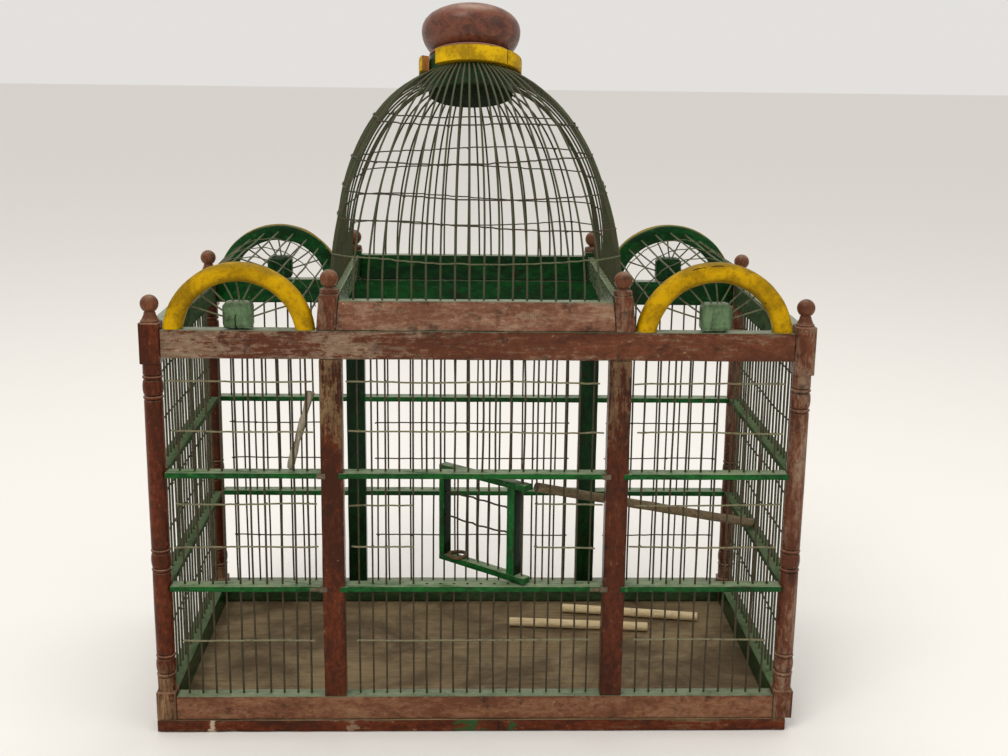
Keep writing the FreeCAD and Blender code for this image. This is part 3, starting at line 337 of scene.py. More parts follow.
MAT = {
    "yellow": yellow_paint("yellow_paint", (196, 152, 0), (156, 119, 0)),
    "collar": yellow_paint("yellow_paint_collar", (214, 172, 10), (178, 140, 6)),
    "olive": yellow_paint("yellow_paint_dull", (150, 132, 50), (112, 98, 40)),
    "wire": wire_paint("wire_old_green", (50, 47, 30), (64, 50, 33), 0.52),
    "wire_end": wire_paint("wire_end_walls", (70, 74, 50), (58, 50, 36), 0.54),
    # wire_vault is a paler copy of the wire paint for lit wires: painted light.
    "wire_vault": wire_paint("wire_vaults_lit", (88, 92, 64), (70, 60, 42), 0.56),
    "wire_green": wire_paint("wire_dome_green", (62, 69, 45), (72, 61, 43), 0.54),
    "tie": wire_paint("wire_thin", (66, 67, 44), (58, 50, 36), 0.52),
    # The front ties' paler copy of the thin wire paint is painted light.
    "tie_lit": wire_paint("wire_front_ties_lit", (116, 112, 84), (90, 80, 58), 0.56),
    "iron": wire_paint("iron_rust", (84, 67, 48), (102, 74, 50), 0.50),
    "pine": bare_wood("pine", (236, 216, 174), (208, 182, 136), "x"),
    "perch": bare_wood("perch_wood", (130, 112, 84), (96, 80, 58), "x"),
    "stick": bare_wood("stick_wood", (160, 152, 132), (120, 111, 92), "z"),
    "end_grain": bare_wood("end_grain", (188, 128, 58), (140, 86, 40), "z"),
    "knob": knob_paint("brown_paint"),
    "floor_top": floor_stain("floor_stain"),
    # The dark material is painted shade in empty holes and in the arch's crack.
    "dark": dull("hole_painted_shade", (16, 14, 10), (26, 22, 15)),
    # The shadow material is painted shade on undersides and in the hub's crease.
    "shadow": dull("green_painted_shade", (16, 28, 13), (30, 42, 22)),
}
for key, name, axes, palette, settings in PAINTED:
    for axis in axes:
        ending = "_" + axis if len(axes) > 1 else ""
        MAT[key + ending] = worn_paint(name + ending, axis, palette, **settings)


# Mesh building
def circle(sides):
    """Equal steps round a full turn."""
    return [2 * pi * n / sides for n in range(sides)]


def polar(radius, turn, height=0.0):
    return Vector((radius * cos(turn), radius * sin(turn), height))


class Build:
    """Collects lofts and tubes, in millimetres, into one mesh."""

    EDGE_WIDTH = 3.2
    STATION = 14
    UNEVEN_SCALE = 0.045
    SHARP_ANGLE = radians(42)

    def __init__(self):
        self.verts, self.faces, self.edges, self.mats = [], [], [], []

    def loft(self, rings, mat=0, edge=None, loop=False):
        """Rings of points joined one after another; edge gives each ring's edge mark along its points, for
        wear and painted edge shade.
        """
        base, count = len(self.verts), len(rings[0])
        for k, ring in enumerate(rings):
            self.verts += ring
            self.edges += edge[k] if edge else [0.0] * count
        made = []
        for k in range(len(rings) if loop else len(rings) - 1):
            here, above = base + k * count, base + (k + 1) % len(rings) * count
            for n in range(count):
                m = (n + 1) % count
                made.append((here + n, here + m, above + m, above + n))
        if not loop:
            top = base + (len(rings) - 1) * count
            made.append(tuple(base + n for n in reversed(range(count))))
            made.append(tuple(top + n for n in range(count)))
        self.faces += made
        self.mats += [mat] * len(made)

    def tube(self, path, radius, sides=6, mat=0, loop=False):
        """A round wire along a path."""
        rings, side = [], None
        count = len(path)
        for k, point in enumerate(path):
            before = path[k - 1] if k or loop else path[0]
            after = path[(k + 1) % count] if k < count - 1 or loop else path[-1]
            ahead = (after - before).normalized()
            if side is None:
                side = ahead.orthogonal().normalized()
            side = (side - ahead * side.dot(ahead)).normalized()
            up = ahead.cross(side)
            rings.append([point + (side * cos(t) + up * sin(t)) * radius for t in circle(sides)])
        self.loft(rings, mat, loop=loop)

    def block(self, low, high, mat=0, bevel=0.9, rough=0.28, shape=None, seed=0.0):
        """A board with rounded, slightly uneven edges; shape moves its points afterwards."""
        low, high = Vector(low), Vector(high)
        size, middle = high - low, (low + high) / 2
        axis = max(range(3), key=lambda n: size[n])
        u, v = [n for n in range(3) if n != axis]
        if axis == 1:
            u, v = v, u
        bevel = min(bevel, size[u] * 0.3, size[v] * 0.3)
        near = max(min(self.EDGE_WIDTH, size[u] * 0.45, size[v] * 0.45), bevel * 1.2)
        round_off = bevel * 0.3
        corner = ((0, near, 0), (0, bevel, 0.6), (round_off, round_off, 1), (bevel, 0, 0.6), (near, 0, 0))
        section, wear = [], []
        for cu, cv, points in ((0, 0, corner), (1, 0, corner[::-1]), (1, 1, corner), (0, 1, corner[::-1])):
            for du, dv, worn in points:
                section.append((cu * size[u] + (1 - 2 * cu) * du, cv * size[v] + (1 - 2 * cv) * dv))
                wear.append(worn)
        stations = max(2, int(size[axis] / self.STATION))
        steps = [0.0, bevel * 0.35, bevel]
        steps += [bevel + (size[axis] - 2 * bevel) * k / stations for k in range(1, stations)]
        steps += [size[axis] - bevel, size[axis] - bevel * 0.35, size[axis]]
        last = len(steps) - 1
        inset = {0: bevel, 1: round_off, last - 1: round_off, last: bevel}
        rings, edges = [], []
        for k, step in enumerate(steps):
            pull = inset.get(k, 0.0)
            ring = []
            for a, b in section:
                point = Vector(low)
                point[axis] += step
                point[u] += min(max(a, pull), size[u] - pull)
                point[v] += min(max(b, pull), size[v] - pull)
                shake = noise.noise(point * self.UNEVEN_SCALE + Vector((seed, seed * 2, 0))) * rough
                for n in (u, v):
                    inwards = 1 if point[n] < middle[n] else -1
                    point[n] += (shake + rough * 0.75) * inwards
                ring.append(shape(point) if shape else point)
            rings.append(ring)
            edges.append([max(worn, 0.8 if k in inset else 0.0) for worn in wear])
        self.loft(rings, mat, edges)

    def lathe(self, profile, shape, mat=0, sides=28):
        """A turned length: (height, radius, edge mark for wear and painted edge shade) from the foot up, put
        in place by shape.
        """
        rings = []
        for height, radius, _ in profile:
            rings.append([shape(polar(radius, t, height)) for t in circle(sides)])
        self.loft(rings, mat, [[worn] * sides for _, _, worn in profile])

    def make(self, node, body, slot, mats, chooser=None):
        """The finished piece: rides on a body and stands for a CAD node. A chooser picks faces' materials."""
        mesh = bpy.data.meshes.new(node + "_dressed")
        mesh.from_pydata([tuple(v * MM) for v in self.verts], [], self.faces)
        for mat in mats:
            mesh.materials.append(MAT[mat])
        mesh.polygons.foreach_set("material_index", self.mats)
        work = bmesh.new()
        work.from_mesh(mesh)
        bmesh.ops.recalc_face_normals(work, faces=work.faces)
        work.to_mesh(mesh)
        work.free()
        if chooser:
            for face in mesh.polygons:
                face.material_index = chooser(face.center / MM, face.normal, face.material_index)
        wear = mesh.attributes.new("edge", "FLOAT", "POINT")
        wear.data.foreach_set("value", self.edges)
        piece = bpy.data.objects.new(node + "_dressed", mesh)
        bpy.context.scene.collection.objects.link(piece)
        mesh.shade_smooth()
        mesh.set_sharp_from_angle(angle=self.SHARP_ANGLE)
        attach(piece, body)
        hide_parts(node)


def solids(node):
    """The boxes of a CAD node's separate solids, in millimetres, as (low, high, points)."""
    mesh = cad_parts[node].data
    keys = [tuple(round(c / MM, 2) for c in v.co) for v in mesh.vertices]
    weld = {}
    owner = [weld.setdefault(key, n) for n, key in enumerate(keys)]
    parent = list(range(len(keys)))

    def root(n):
        while parent[n] != n:
            parent[n] = parent[parent[n]]
            n = parent[n]
        return n

    for face in mesh.polygons:
        first = root(owner[face.vertices[0]])
        for n in face.vertices[1:]:
            parent[root(owner[n])] = first
    sets = {}
    for n in weld.values():
        sets.setdefault(root(n), []).append(Vector(keys[n]))
    found = []
    for points in sets.values():
        low = Vector([min(p[n] for p in points) for n in range(3)])
        high = Vector([max(p[n] for p in points) for n in range(3)])
        found.append((low, high, points))
    return sorted(found, key=lambda item: tuple(item[0]))


def wobble(point, seed, amount, scale=0.02):
    """A point moved by smooth noise; each seed has a stretch of noise of its own."""
    shift = noise.noise_vector(point * scale + Vector((seed * 7.3, seed * 3.1, seed)))
    return point + shift * amount


# Floor board, rails and stiles
FACING, SIDE_FACING = 0.6, 50
BOARD_SEED, SEED_STEP = 8, 3.7


def look(inward, across=None):
    """Top faces take the second material and faces that look into the cage the third. The cage's inside lies
    the way that inward says on y, or towards the place across on x."""
    def pick(centre, normal, index):
        if normal.z > FACING:
            return 1
        if across is not None:
            return 2 if normal.x * (centre.x - across) < -SIDE_FACING else index
        return 2 if normal.y * inward > FACING else index
    return pick


def facing(way, least=FACING):
    """Faces that look one way take the second material."""
    return lambda centre, normal, index: 1 if normal.dot(way) > least else index


def rear_top(centre, normal, index):
    """The ledge inside the dome's base is dark, and the rest is as on the other rails."""
    if normal.z > FACING and abs(centre.x - SHIFT) < BOARD_HALF:
        return 2
    return look(-1)(centre, normal, index)


def add_boards(build, node, seed, bevel, rough, reach=None):
    """A board for each solid of a node; reach is (axis, half length) where the ends are cut back."""
    for k, (low, high, _) in enumerate(solids(node)):
        if reach:
            axis, half = reach
            low[axis], high[axis] = max(low[axis], -half), min(high[axis], half)
        build.block(low, high, bevel=bevel, rough=rough, seed=seed + k * SEED_STEP)


def boards(node, slot, mats, bevel, chooser=None, rough=0.28, reach=None):
    build = Build()
    add_boards(build, node, len(node) + BOARD_SEED, bevel, rough, reach)
    build.make(node, "cage", slot, mats, chooser)


boards("floor_board", "red_paint", ["floor_edge", "floor_top"], 1.4, facing(UP), 0.5)
for node, mats, pick in (
        ("bottom_rail_front", ["bottom_rail", "dusty_x", "inner_x"], look(1)),
        ("bottom_rail_rear", ["red_x", "dusty_x", "inner_grey"], look(-1)),
        ("bottom_rails_side", ["red_y", "grey_y", "inner_y"], look(0, 0)),
        ("top_rail_front", ["top_rail", "dusty_x", "inner_x"], look(1)),
        ("top_rail_rear", ["red_x", "dusty_x", "mid_x"], rear_top),
        ("top_rails_side", ["red_y", "dusty_y", "grey_y"], look(0, 0))):
    boards(node, "red_paint", mats, 1.1, pick)
for side, mat in (("left", "stile"), ("right", "stile_right")):
    boards(f"front_stile_{side}", "red_paint", [mat, mat, "inner_z"], 1.0, look(1), 0.35)
boards("rear_stiles", "green_paint", ["deep_stile", "red_z"], 1.0, facing(Vector((0, 1, 0))))

# Cross rails: those in front end in tongues that lap the stiles
RAIL_REACH, END_RAIL_REACH = (0, 287.4), (1, 136.4)
STILE_EDGES = ((-145.4, 1), (-124.4, -1), (117.6, 1), (138.6, -1))
TONGUE_FRONT, TONGUE_BACK, TONGUE_LAP, TONGUE_ROOT = -153.5, -147, 4.6, 3
STRIP_LENGTHS, STRIP_END, STRIP_DEPTH = {"lower": 12, "upper": 4}, 2, 4
HOLE_R, HOLE_DEPTH, HOLE_LIFT = 1.35, 0.6, 0.06
DOOR_HOLES = range(6, 13)


def holes(build, spots, out, mat):
    """Empty wire holes, as dark spots of painted shade on a face; out is the way that the face looks."""
    for spot in spots:
        build.tube([spot - out * HOLE_DEPTH, spot + out * HOLE_LIFT], HOLE_R, 10, mat)


def rail_ends(build, node, level, base):
    """The tongues, bare on the left of each stile, where the rail's own end is bare as well."""
    front = solids(node)[-1][0].y
    for edge, way in STILE_EDGES:
        near, far = sorted((edge - way * TONGUE_ROOT, edge + way * TONGUE_LAP))
        build.block((near, TONGUE_FRONT, base + 0.2), (far, TONGUE_BACK, base + CROSS_THICK - 0.2),
                    2 if way > 0 else 0, 0.5, 0.1)
        if way > 0:
            build.block((edge - STRIP_LENGTHS[level], front - 0.2, base + 0.8),
                        (edge - STRIP_END, front + STRIP_DEPTH, base + CROSS_THICK - 1), 2, 0.3, 0.1)


for wall in ("front", "rear"):
    for level, top in (("lower", LOW_TOP), ("upper", HIGH_TOP)):
        node = f"{wall}_cross_rails_{level}"
        build = Build()
        add_boards(build, node, len(node), 0.7, 0.3, RAIL_REACH)
        if wall == "front":
            rail_ends(build, node, level, top - CROSS_THICK)
        if node == "front_cross_rails_lower":
            row = [Vector((FIRST_WIRE_X + WIRE_PITCH * k, -POST_Y, top - 0.1)) for k in DOOR_HOLES]
            holes(build, row, UP, 1)
        build.make(node, "cage", "green_paint", ["green_x", "dark", "tongue"])
for node in ("left_cross_rails", "right_cross_rails"):
    boards(node, "green_paint", ["grey_y"], 0.7, reach=END_RAIL_REACH)

# Turned corner posts: half a turning, in shares of its length and radius, up to its middle, and the plain
# shaft below each turning as (height, share of its radius, edge mark for wear and painted edge shade)
HALF_TURNING = (
    (0, 0.98), (0.022, 0.82), (0.045, 0.80), (0.068, 0.98), (0.09, 1.03), (0.145, 1.03), (0.165, 0.98),
    (0.188, 0.79), (0.215, 0.79), (0.24, 0.97), (0.31, 1.02), (0.40, 1.05), (0.5, 1.06))
TURNING = HALF_TURNING + tuple((1 - h, r) for h, r in reversed(HALF_TURNING[:-1]))
GROOVE_SHARE, GROOVE_SHADE_AND_WEAR = 0.9, 2.2
SHAFT = (
    ((POST_FOOT_TOP - 0.3, 1, 0.3), (44, 0.97, 0)),
    ((90, 1, 0), (125, 1.02, 0)),
    ((200, 1, 0), (245, 1.02, 0), (290, 1, 0)))
FINIAL_BASE, FINIAL_R, NECK_H, NECK_R, BALL_RISE = POST_TOP - 0.2, 9, 8.4, 5.2, 16.2
LIP_FACING = (0.3, 0.97)


def turning(base):
    profile = []
    for h, r in TURNING:
        # The grooves get a high edge mark, which paints shade into them and wears them.
        worn = GROOVE_SHADE_AND_WEAR if r < GROOVE_SHARE else 0.0
        profile.append((base + TURN_START + h * TURN_LENGTH, r * TURN_R, worn))
    return profile


def ball(height, first, step, worn_from=0):
    """A ball's profile, from its first angle up in equal steps, in degrees."""
    profile = []
    for k in range(11):
        turn = radians(first + step * k)
        worn = 0.25 if k >= worn_from else 0.0
        profile.append((height + BALL_R * sin(turn), BALL_R * cos(turn), worn))
    return profile


def finial():
    """The flared neck and the ball of a corner post."""
    flare = ((0, FINIAL_R * 0.95, 0.5), (0.16, FINIAL_R * 0.95, 0.5), (0.24, FINIAL_R * 0.84, 0.2),
             (0.48, NECK_R * 1.28, 0), (0.74, NECK_R * 1.07, 0), (1, NECK_R, 0))
    neck = [(FINIAL_BASE + NECK_H * h, r, worn) for h, r, worn in flare]
    return neck + ball(FINIAL_BASE + BALL_RISE, -58, 14.3, 4)


def lip_highlights(centre, normal, index):
    """The upper lips of the grooves are painted pale: a painted highlight, with rubbed paint as well."""
    return 2 if index == 0 and LIP_FACING[0] < normal.z < LIP_FACING[1] else index


for wall, sy in WALLS:
    for side, sx in (("left", -1), ("right", 1)):
        build = Build()
        spot = Vector((sx * POST_X, sy * POST_Y, 0))
        half = Vector((POST_SIDE / 2, POST_SIDE / 2, 0))
        head = POST_HEAD_BASE[side]
        for low, high, seed in ((FLOOR, POST_FOOT_TOP, sx + sy), (head, POST_TOP, sx - sy)):
            build.block(spot - half + UP * low, spot + half + UP * high, bevel=1.2, seed=seed)
        profile = []
        for plain, base in zip(SHAFT, TURN_BASES[side]):
            profile += [(h, SHAFT_R * share, worn) for h, share, worn in plain] + turning(base)
        profile += [(head - 3, SHAFT_R * 0.98, 0), (head + 0.3, SHAFT_R, 0.3)]
        build.lathe(profile, lambda p: p + spot)
        build.lathe(finial(), lambda p: p + spot, 1)
        paint = "post_left" if side == "left" else "worn_z"
        build.make(f"corner_post_{wall}_{side}", "cage", "red_paint", [paint, "finial", "lip"], lip_highlights)

# Upright wires: the lengths between rails are one wire that runs through them
RAIL_GAP, WIRE_STEP, WIRE_ROOT = 8, 22, 2
WIRE_BOW, WIRE_WAVE, WIRE_WAVE_SCALE = 0.9, 0.55, 0.013
STOUT, END_STOUT, STOUT_SPREAD = 1.04, 1.2, 0.12


def joined(spans):
    """Lengths that only a rail parts, put together."""
    spans = sorted(spans)
    runs = [list(spans[0])]
    for low, high in spans[1:]:
        if low - runs[-1][1] < RAIL_GAP:
            runs[-1][1] = high
        else:
            runs.append([low, high])
    return runs


def upright_wires(node):
    """Slightly bowed wires, apart from those that the door has to clear, which are straight."""
    still = node == "front_wires_beside_door"
    end_wall = node in ("left_wires", "right_wires")
    stout = END_STOUT if end_wall else STOUT
    rows = {}
    for low, high, _ in solids(node):
        middle = (low + high) / 2
        rows.setdefault((round(middle.x, 1), round(middle.y, 1)), []).append((low.z, high.z))
    build = Build()
    for n, ((x, y), spans) in enumerate(sorted(rows.items())):
        for low, high in joined(spans):
            count = max(4, int((high - low) / WIRE_STEP))
            bow = 0.0 if still else jitter(WIRE_BOW)
            path = []
            for k in range(count + 1):
                arc = sin(pi * k / count) * bow
                z = low - WIRE_ROOT + (high - low + 2 * WIRE_ROOT) * k / count
                point = Vector((x, y + arc, z)) if end_wall else Vector((x + arc, y, z))
                path.append(point if still else wobble(point, n * 0.37, WIRE_WAVE, WIRE_WAVE_SCALE))
            build.tube(path, WIRE / 2 * (1.0 if still else random.uniform(stout, stout + STOUT_SPREAD)), 7)
    build.make(node, "cage", "wire", ["wire_end" if end_wall else "wire"])


for node in ("front_wires_left", "front_wires_right", "front_wires_beside_door", "front_wires_over_door",
             "front_wires_under_door", "rear_wires", "left_wires", "right_wires"):
    upright_wires(node)
build = Build()
hinge_heights = (LOW_TOP - 1, 180, 215, HIGH_TOP - CROSS_THICK + 1)
build.tube([HINGE + UP * z for z in hinge_heights], WIRE / 2, 10)
build.make("hinge_wire", "cage", "wire", ["wire"])

# Thin wires tied across the uprights, with a turn round some of them
TIE_PITCH, TIE_DIP, TIE_WAVE, TIE_WAVE_SCALE, TIE_JITTER = 12.9, 0.55, 1.9, 0.011, 0.25
TURN_ODDS, TURN_COUNT, TURN_RISE = 0.25, 1.15, 0.9
TIE_THICK, PALE_TIE_THICK, TURN_THICK = 0.66, 0.76, 0.42
LONG_SPARE, SHORT_SPARE, SPARE_DROOP = (5.5, 10.5), (2, 4), 0.8
DOOR_TIE_HEIGHTS, DOOR_TURN_CLEAR, DOOR_SPARE_CLEAR = (180, 232), (-75, 45), (-75, 60)
LOW_TIES, REAR_TIES = 100, 140


def inside(value, limits):
    return limits[0] < value < limits[1]


def tie_turn(build, centre, mat=0):
    """One turn of thin wire round an upright."""
    path = []
    rise = jitter(TURN_RISE)
    for k in range(9):
        turn = 2 * pi * k / 8 * TURN_COUNT
        out = polar(WIRE / 2 + TIE * 0.34, turn)
        path.append(centre + out + UP * (rise * (k / 8 - 0.5) * 2.4))
    build.tube(path, TIE * TURN_THICK, 5, mat)


def tie(build, n, low, high):
    """One tie; in front it takes a paler, lit copy of the wire paint, which is painted light, and beside the
    door it ends short of the door's way.
    """
    middle = (low + high) / 2
    run_axis = 0 if high.x - low.x > high.y - low.y else 1
    wall_axis = 1 - run_axis
    wall = copysign((POST_X, POST_Y)[wall_axis], middle[wall_axis])
    in_front = run_axis == 0 and middle.y < 0
    by_door = in_front and inside(middle.z, DOOR_TIE_HEIGHTS)
    run = high[run_axis] - low[run_axis] - WIRE
    steps = 2 * max(2, round(run / TIE_PITCH))
    dip = Vector()
    dip[wall_axis] = -copysign(TIE_DIP, wall)
    # Front ties take the lit copy of the wire paint: painted light.
    mat = 1 if in_front else 0
    path = []
    for k in range(steps + 1):
        point = Vector(middle)
        point[run_axis] = low[run_axis] + WIRE / 2 + run * k / steps
        if k % 2:
            point += dip * random.uniform(0.0, 0.8)
        off = jitter(TIE_JITTER)
        path.append(wobble(point, n * 0.9, TIE_WAVE, TIE_WAVE_SCALE) + UP * off)
        turned = k in (0, steps) or (k % 2 == 0 and random.random() < TURN_ODDS)
        if turned and not (by_door and inside(point.x, DOOR_TURN_CLEAR)):
            spot = Vector(point)
            spot[wall_axis] = wall
            spot.z = path[-1].z
            tie_turn(build, spot, mat)
    ahead = Vector()
    ahead[run_axis] = 1
    for end, way in ((path[0], -1), (path[-1], 1)):
        long = middle.z > LOW_TIES and middle.y < REAR_TIES
        spare = random.uniform(*(LONG_SPARE if long else SHORT_SPARE))
        if by_door and inside(end.x, DOOR_SPARE_CLEAR):
            continue
        tip = end + ahead * way * spare + UP * jitter(SPARE_DROOP)
        path = [tip] + path if way < 0 else path + [tip]
    build.tube(path, TIE * (PALE_TIE_THICK if in_front else TIE_THICK), 6, mat)


build = Build()
for n, (low, high, _) in enumerate(solids("tie_wires")):
    tie(build, n, low, high)
build.make("tie_wires", "cage", "wire", ["tie", "tie_lit"])

# The door, drawn shut about its hinge and turned ajar
DOOR_TURN = Matrix.Translation(HINGE) @ Matrix.Rotation(radians(DOOR_ANGLE), 4, Vector((0, 0, -1)))
DOOR_WIRES, DOOR_WIRE_FOOT, DOOR_WIRE_LENGTH, STILE_LAP = 5, 5, 88, 0.3
DOOR_TIES = ((45.6, -1.5), (69.6, 0.8))
RING_R, RING_WIRE, RING_LIFT = 8.5, 1.8, 1.5


def hung(point):
    return DOOR_TURN @ point


latch = -DOOR_REACH + LATCH_STILE
wire_room = DOOR_REACH - LATCH_STILE - HINGE_STILE_FAR
door_top = DOOR_BASE + DOOR_HEIGHT
low_rail, high_rail = DOOR_BASE + DOOR_RAIL, door_top - DOOR_RAIL
stile_low, stile_high = low_rail - STILE_LAP, high_rail + STILE_LAP
half = DOOR_THICK / 2
towards_hinge = DOOR_TURN.to_3x3() @ Vector((1, 0, 0))
for node, left, right, low, high in (
        ("door_bottom_rail", -DOOR_REACH, DOOR_EAR, DOOR_BASE, low_rail),
        ("door_top_rail", -DOOR_REACH, DOOR_EAR, high_rail, door_top),
        ("door_hinge_stile", -HINGE_STILE_FAR, -HINGE_STILE_NEAR, stile_low, stile_high),
        ("door_latch_stile", -DOOR_REACH, latch, stile_low, stile_high)):
    build = Build()
    build.block((left, -half, low), (right, half, high), bevel=0.8, rough=0.16, shape=hung, seed=len(node))
    if node.endswith("stile"):
        # The stiles' faces towards the hinge take a darker green: painted shade.
        build.make(node, "door", "green_paint", ["green_z", "deep"], facing(towards_hinge, 0.7))
    else:
        build.make(node, "door", "green_paint", ["green_x"])
build = Build()
for k in range(1, DOOR_WIRES + 1):
    x = latch + wire_room * k / (DOOR_WIRES + 1)
    path = []
    for n in range(7):
        z = DOOR_BASE + DOOR_WIRE_FOOT + DOOR_WIRE_LENGTH * n / 6
        path.append(hung(Vector((x + 0.4 * sin(k + n), 0.3 * cos(2 * k + n), z))))
    build.tube(path, WIRE / 2, 7)
for height, sag in DOOR_TIES:
    path = []
    for k in range(13):
        x = latch - 1 + (wire_room + 2) * k / 12
        y = -0.2 if k % 2 else -1.1
        z = DOOR_BASE + height + sag * sin(pi * k / 12) + 0.5 * (k % 3)
        path.append(hung(Vector((x, y, z))))
    build.tube(path, TIE * 0.8, 6)
build.make("door_wires", "door", "wire", ["wire"])
build = Build()
spot = Vector((latch + wire_room / (DOOR_WIRES + 1), 0, low_rail + RING_LIFT))
path = [polar(RING_R, t, 0.35 * sin(2 * t)) for t in circle(36)]
build.tube([hung(spot + p) for p in path], RING_WIRE, 10, loop=True)
build.make("door_ring", "door", "iron", ["iron"])

# The dome's base: leaning posts, and boards between them
LEAN = DOME_LEAN / DOME_POST_HEIGHT
DOME_POST_HALF = Vector((9, 8.5, 0))
DOME_NECK = ((32.3, 7.6, 0.2), (33.2, 8.5, 0.6), (35, 8.7, 0.6), (36.8, 8.2, 0.4), (37.6, 5.2, 0))
DOME_BALL_ROOT, DOME_BALL_RISE = (37, 4.6, 0), 45.9


def leaning(sign):
    """Leans points in towards the middle as they rise from the rail."""
    return lambda p: p + Vector((-sign * LEAN * (p.z - FRAME_TOP), 0, 0))


def tapered(p):
    """Slopes the ends of a board like the posts beside them."""
    return p + Vector((-LEAN * (p.z - FRAME_TOP) * (p.x - SHIFT) / BOARD_HALF, 0, 0))


def inner_corner(inward):
    """The faces of a dome post that look into the cage are green."""
    def pick(centre, normal, index):
        facing_in = normal.y * inward > FACING or normal.x * (centre.x - SHIFT) < -60
        return 2 if index == 0 and facing_in and centre.z < BOARD_TOP else index
    return pick


for wall, sy in WALLS:
    build = Build()
    for sign in (-1, 1):
        foot = Vector((SHIFT + sign * DOME_POST_SPACING / 2, sy * POST_Y, FRAME_TOP))
        top = foot - Vector((sign * DOME_LEAN, 0, 0))
        build.block(foot - DOME_POST_HALF, foot + DOME_POST_HALF + UP * DOME_POST_HEIGHT, bevel=1.0,
                    shape=leaning(sign), seed=sign + sy)
        build.lathe(DOME_NECK, lambda p: p + top)
        build.lathe([DOME_BALL_ROOT] + ball(DOME_BALL_RISE, -62, 14.9), lambda p: p + top, 1)
    build.make(f"dome_posts_{wall}", "cage", "red_paint", ["worn_z", "finial", "inner_z"], inner_corner(-sy))
    build = Build()
    y = sy * DOME_FRONT_Y
    build.block((SHIFT - BOARD_HALF, y - BOARD_DEPTH / 2, FRAME_TOP),
                (SHIFT + BOARD_HALF, y + BOARD_DEPTH / 2, BOARD_TOP), bevel=1.0, rough=0.4, shape=tapered)
    slot = "red_paint" if wall == "front" else "green_paint"
    build.make(f"dome_board_{wall}", "cage", slot, ["pale_x", "dusty_x", "inner_x"], look(-sy))
build = Build()
for sign in (-1, 1):
    x = SHIFT + sign * DOME_POST_SPACING / 2
    build.block((x - BOARD_DEPTH / 2, -DOME_HALF_SIDE, FRAME_TOP),
                (x + BOARD_DEPTH / 2, DOME_HALF_SIDE, BOARD_TOP),
                bevel=1.0, rough=0.4, shape=leaning(sign), seed=sign)
build.make("dome_boards_side", "cage", "red_paint", ["worn_y", "dusty_y", "dusty_y"], look(0, SHIFT))

# Dome wires and the bands round them
DOME_BEND, DOME_END_DROP, SHOULDER, SHOULDER_POWER = radians(61), 2.1, 3.8, 2.6
DOME_STEPS, DOME_SWING, DOME_STOUT, LOOSE_WIRE, LOOSE_LIFT = 22, 1.5, (1.02, 1.14), ("rear", 15), 4.6
BAND_SWAY, BAND_RIPPLE, BAND_JITTER = 3.4, 2.2, 0.4
BAND_LIFT, LOW_BAND_LIFT, LOW_BAND_CORNER = 4, 3.5, 4.5
CURL_WIRES, CURL_BANDS, CURL_SIZE = (20, 55), (0, 2, 4), 1.9


def dome_feet():
    steps = [2 * k / (DOME_WIRES + 1) - 1 for k in range(1, DOME_WIRES + 1)]
    return {
        "front": [Vector((SHIFT + s * DOME_HALF_FRONT, -DOME_FRONT_Y, 0)) for s in steps],
        "right": [Vector((SHIFT + DOME_SIDE_X, s * DOME_HALF_SIDE, 0)) for s in steps],
        "rear": [Vector((SHIFT - s * DOME_HALF_FRONT, DOME_FRONT_Y, 0)) for s in steps],
        "left": [Vector((SHIFT - DOME_SIDE_X, -s * DOME_HALF_SIDE, 0)) for s in steps],
    }


def dome_course(foot):
    """Inward direction, height where the bend starts, the bend's radius and its turn."""
    outward = (foot - Vector((SHIFT, 0, 0))).normalized()
    end = Vector((CROWN.x, 0, 0)) + outward * (HUB_R + 1.5 * WIRE)
    inward = end - foot
    reach = inward.length
    end_height = CROWN.z - end.y * tan(TILT) - DOME_END_DROP
    start = max(end_height - reach / tan(DOME_BEND / 2), BOARD_TOP)
    rise = end_height - start
    return inward / reach, start, (reach ** 2 + rise ** 2) / (2 * reach), 2 * atan2(reach, rise)


def dome_point(foot, share):
    """A place along a dome wire above its straight foot; the bent wires swell a little at the shoulder."""
    inward, start, radius, turn = dome_course(foot)
    t = turn * share
    swell = SHOULDER * sin(pi * share ** SHOULDER_POWER)
    point = Vector((foot.x, foot.y, start + radius * sin(t))) + inward * (radius - radius * cos(t))
    return point + (UP * sin(t) - inward * cos(t)) * swell


def dome_outer(foot, height):
    """Where a wire passes a height, and its way outwards there."""
    inward, start, _, _ = dome_course(foot)
    if height <= start:
        return Vector((foot.x, foot.y, height)), -inward
    low, high = 0.0, 1.0
    for _ in range(24):
        middle = (low + high) / 2
        low, high = (middle, high) if dome_point(foot, middle).z < height else (low, middle)
    ahead = (dome_point(foot, low + 0.01) - dome_point(foot, low)).normalized()
    return dome_point(foot, low), (-inward - ahead * (-inward).dot(ahead)).normalized()


def curl(build, spot, out, size):
    """A twisted wire end that stands out."""
    side = out.cross(UP).normalized()
    path = [spot]
    for k in range(13):
        turn = 2 * pi * k / 12 * 1.3
        away = out * (size * (1 - cos(turn)) * 0.9 + 0.4)
        path.append(spot + away + UP * size * sin(turn) + side * 0.25 * k)
    build.tube(path, TIE * 0.45, 5)


def band_sway(n, angle):
    """How far a band strays from its height. The lowest one is lifted at the dome's corners."""
    sway = BAND_SWAY * sin(angle + n * 2.1) + BAND_RIPPLE * sin(3 * angle + n) + jitter(BAND_JITTER)
    if n == 0:
        mid_side = (1 - cos(4 * angle + pi / 36)) / 2
        return LOW_BAND_CORNER * (1 - mid_side) ** 2 + LOW_BAND_LIFT + jitter(BAND_JITTER)
    return sway + BAND_LIFT if n < 3 else sway


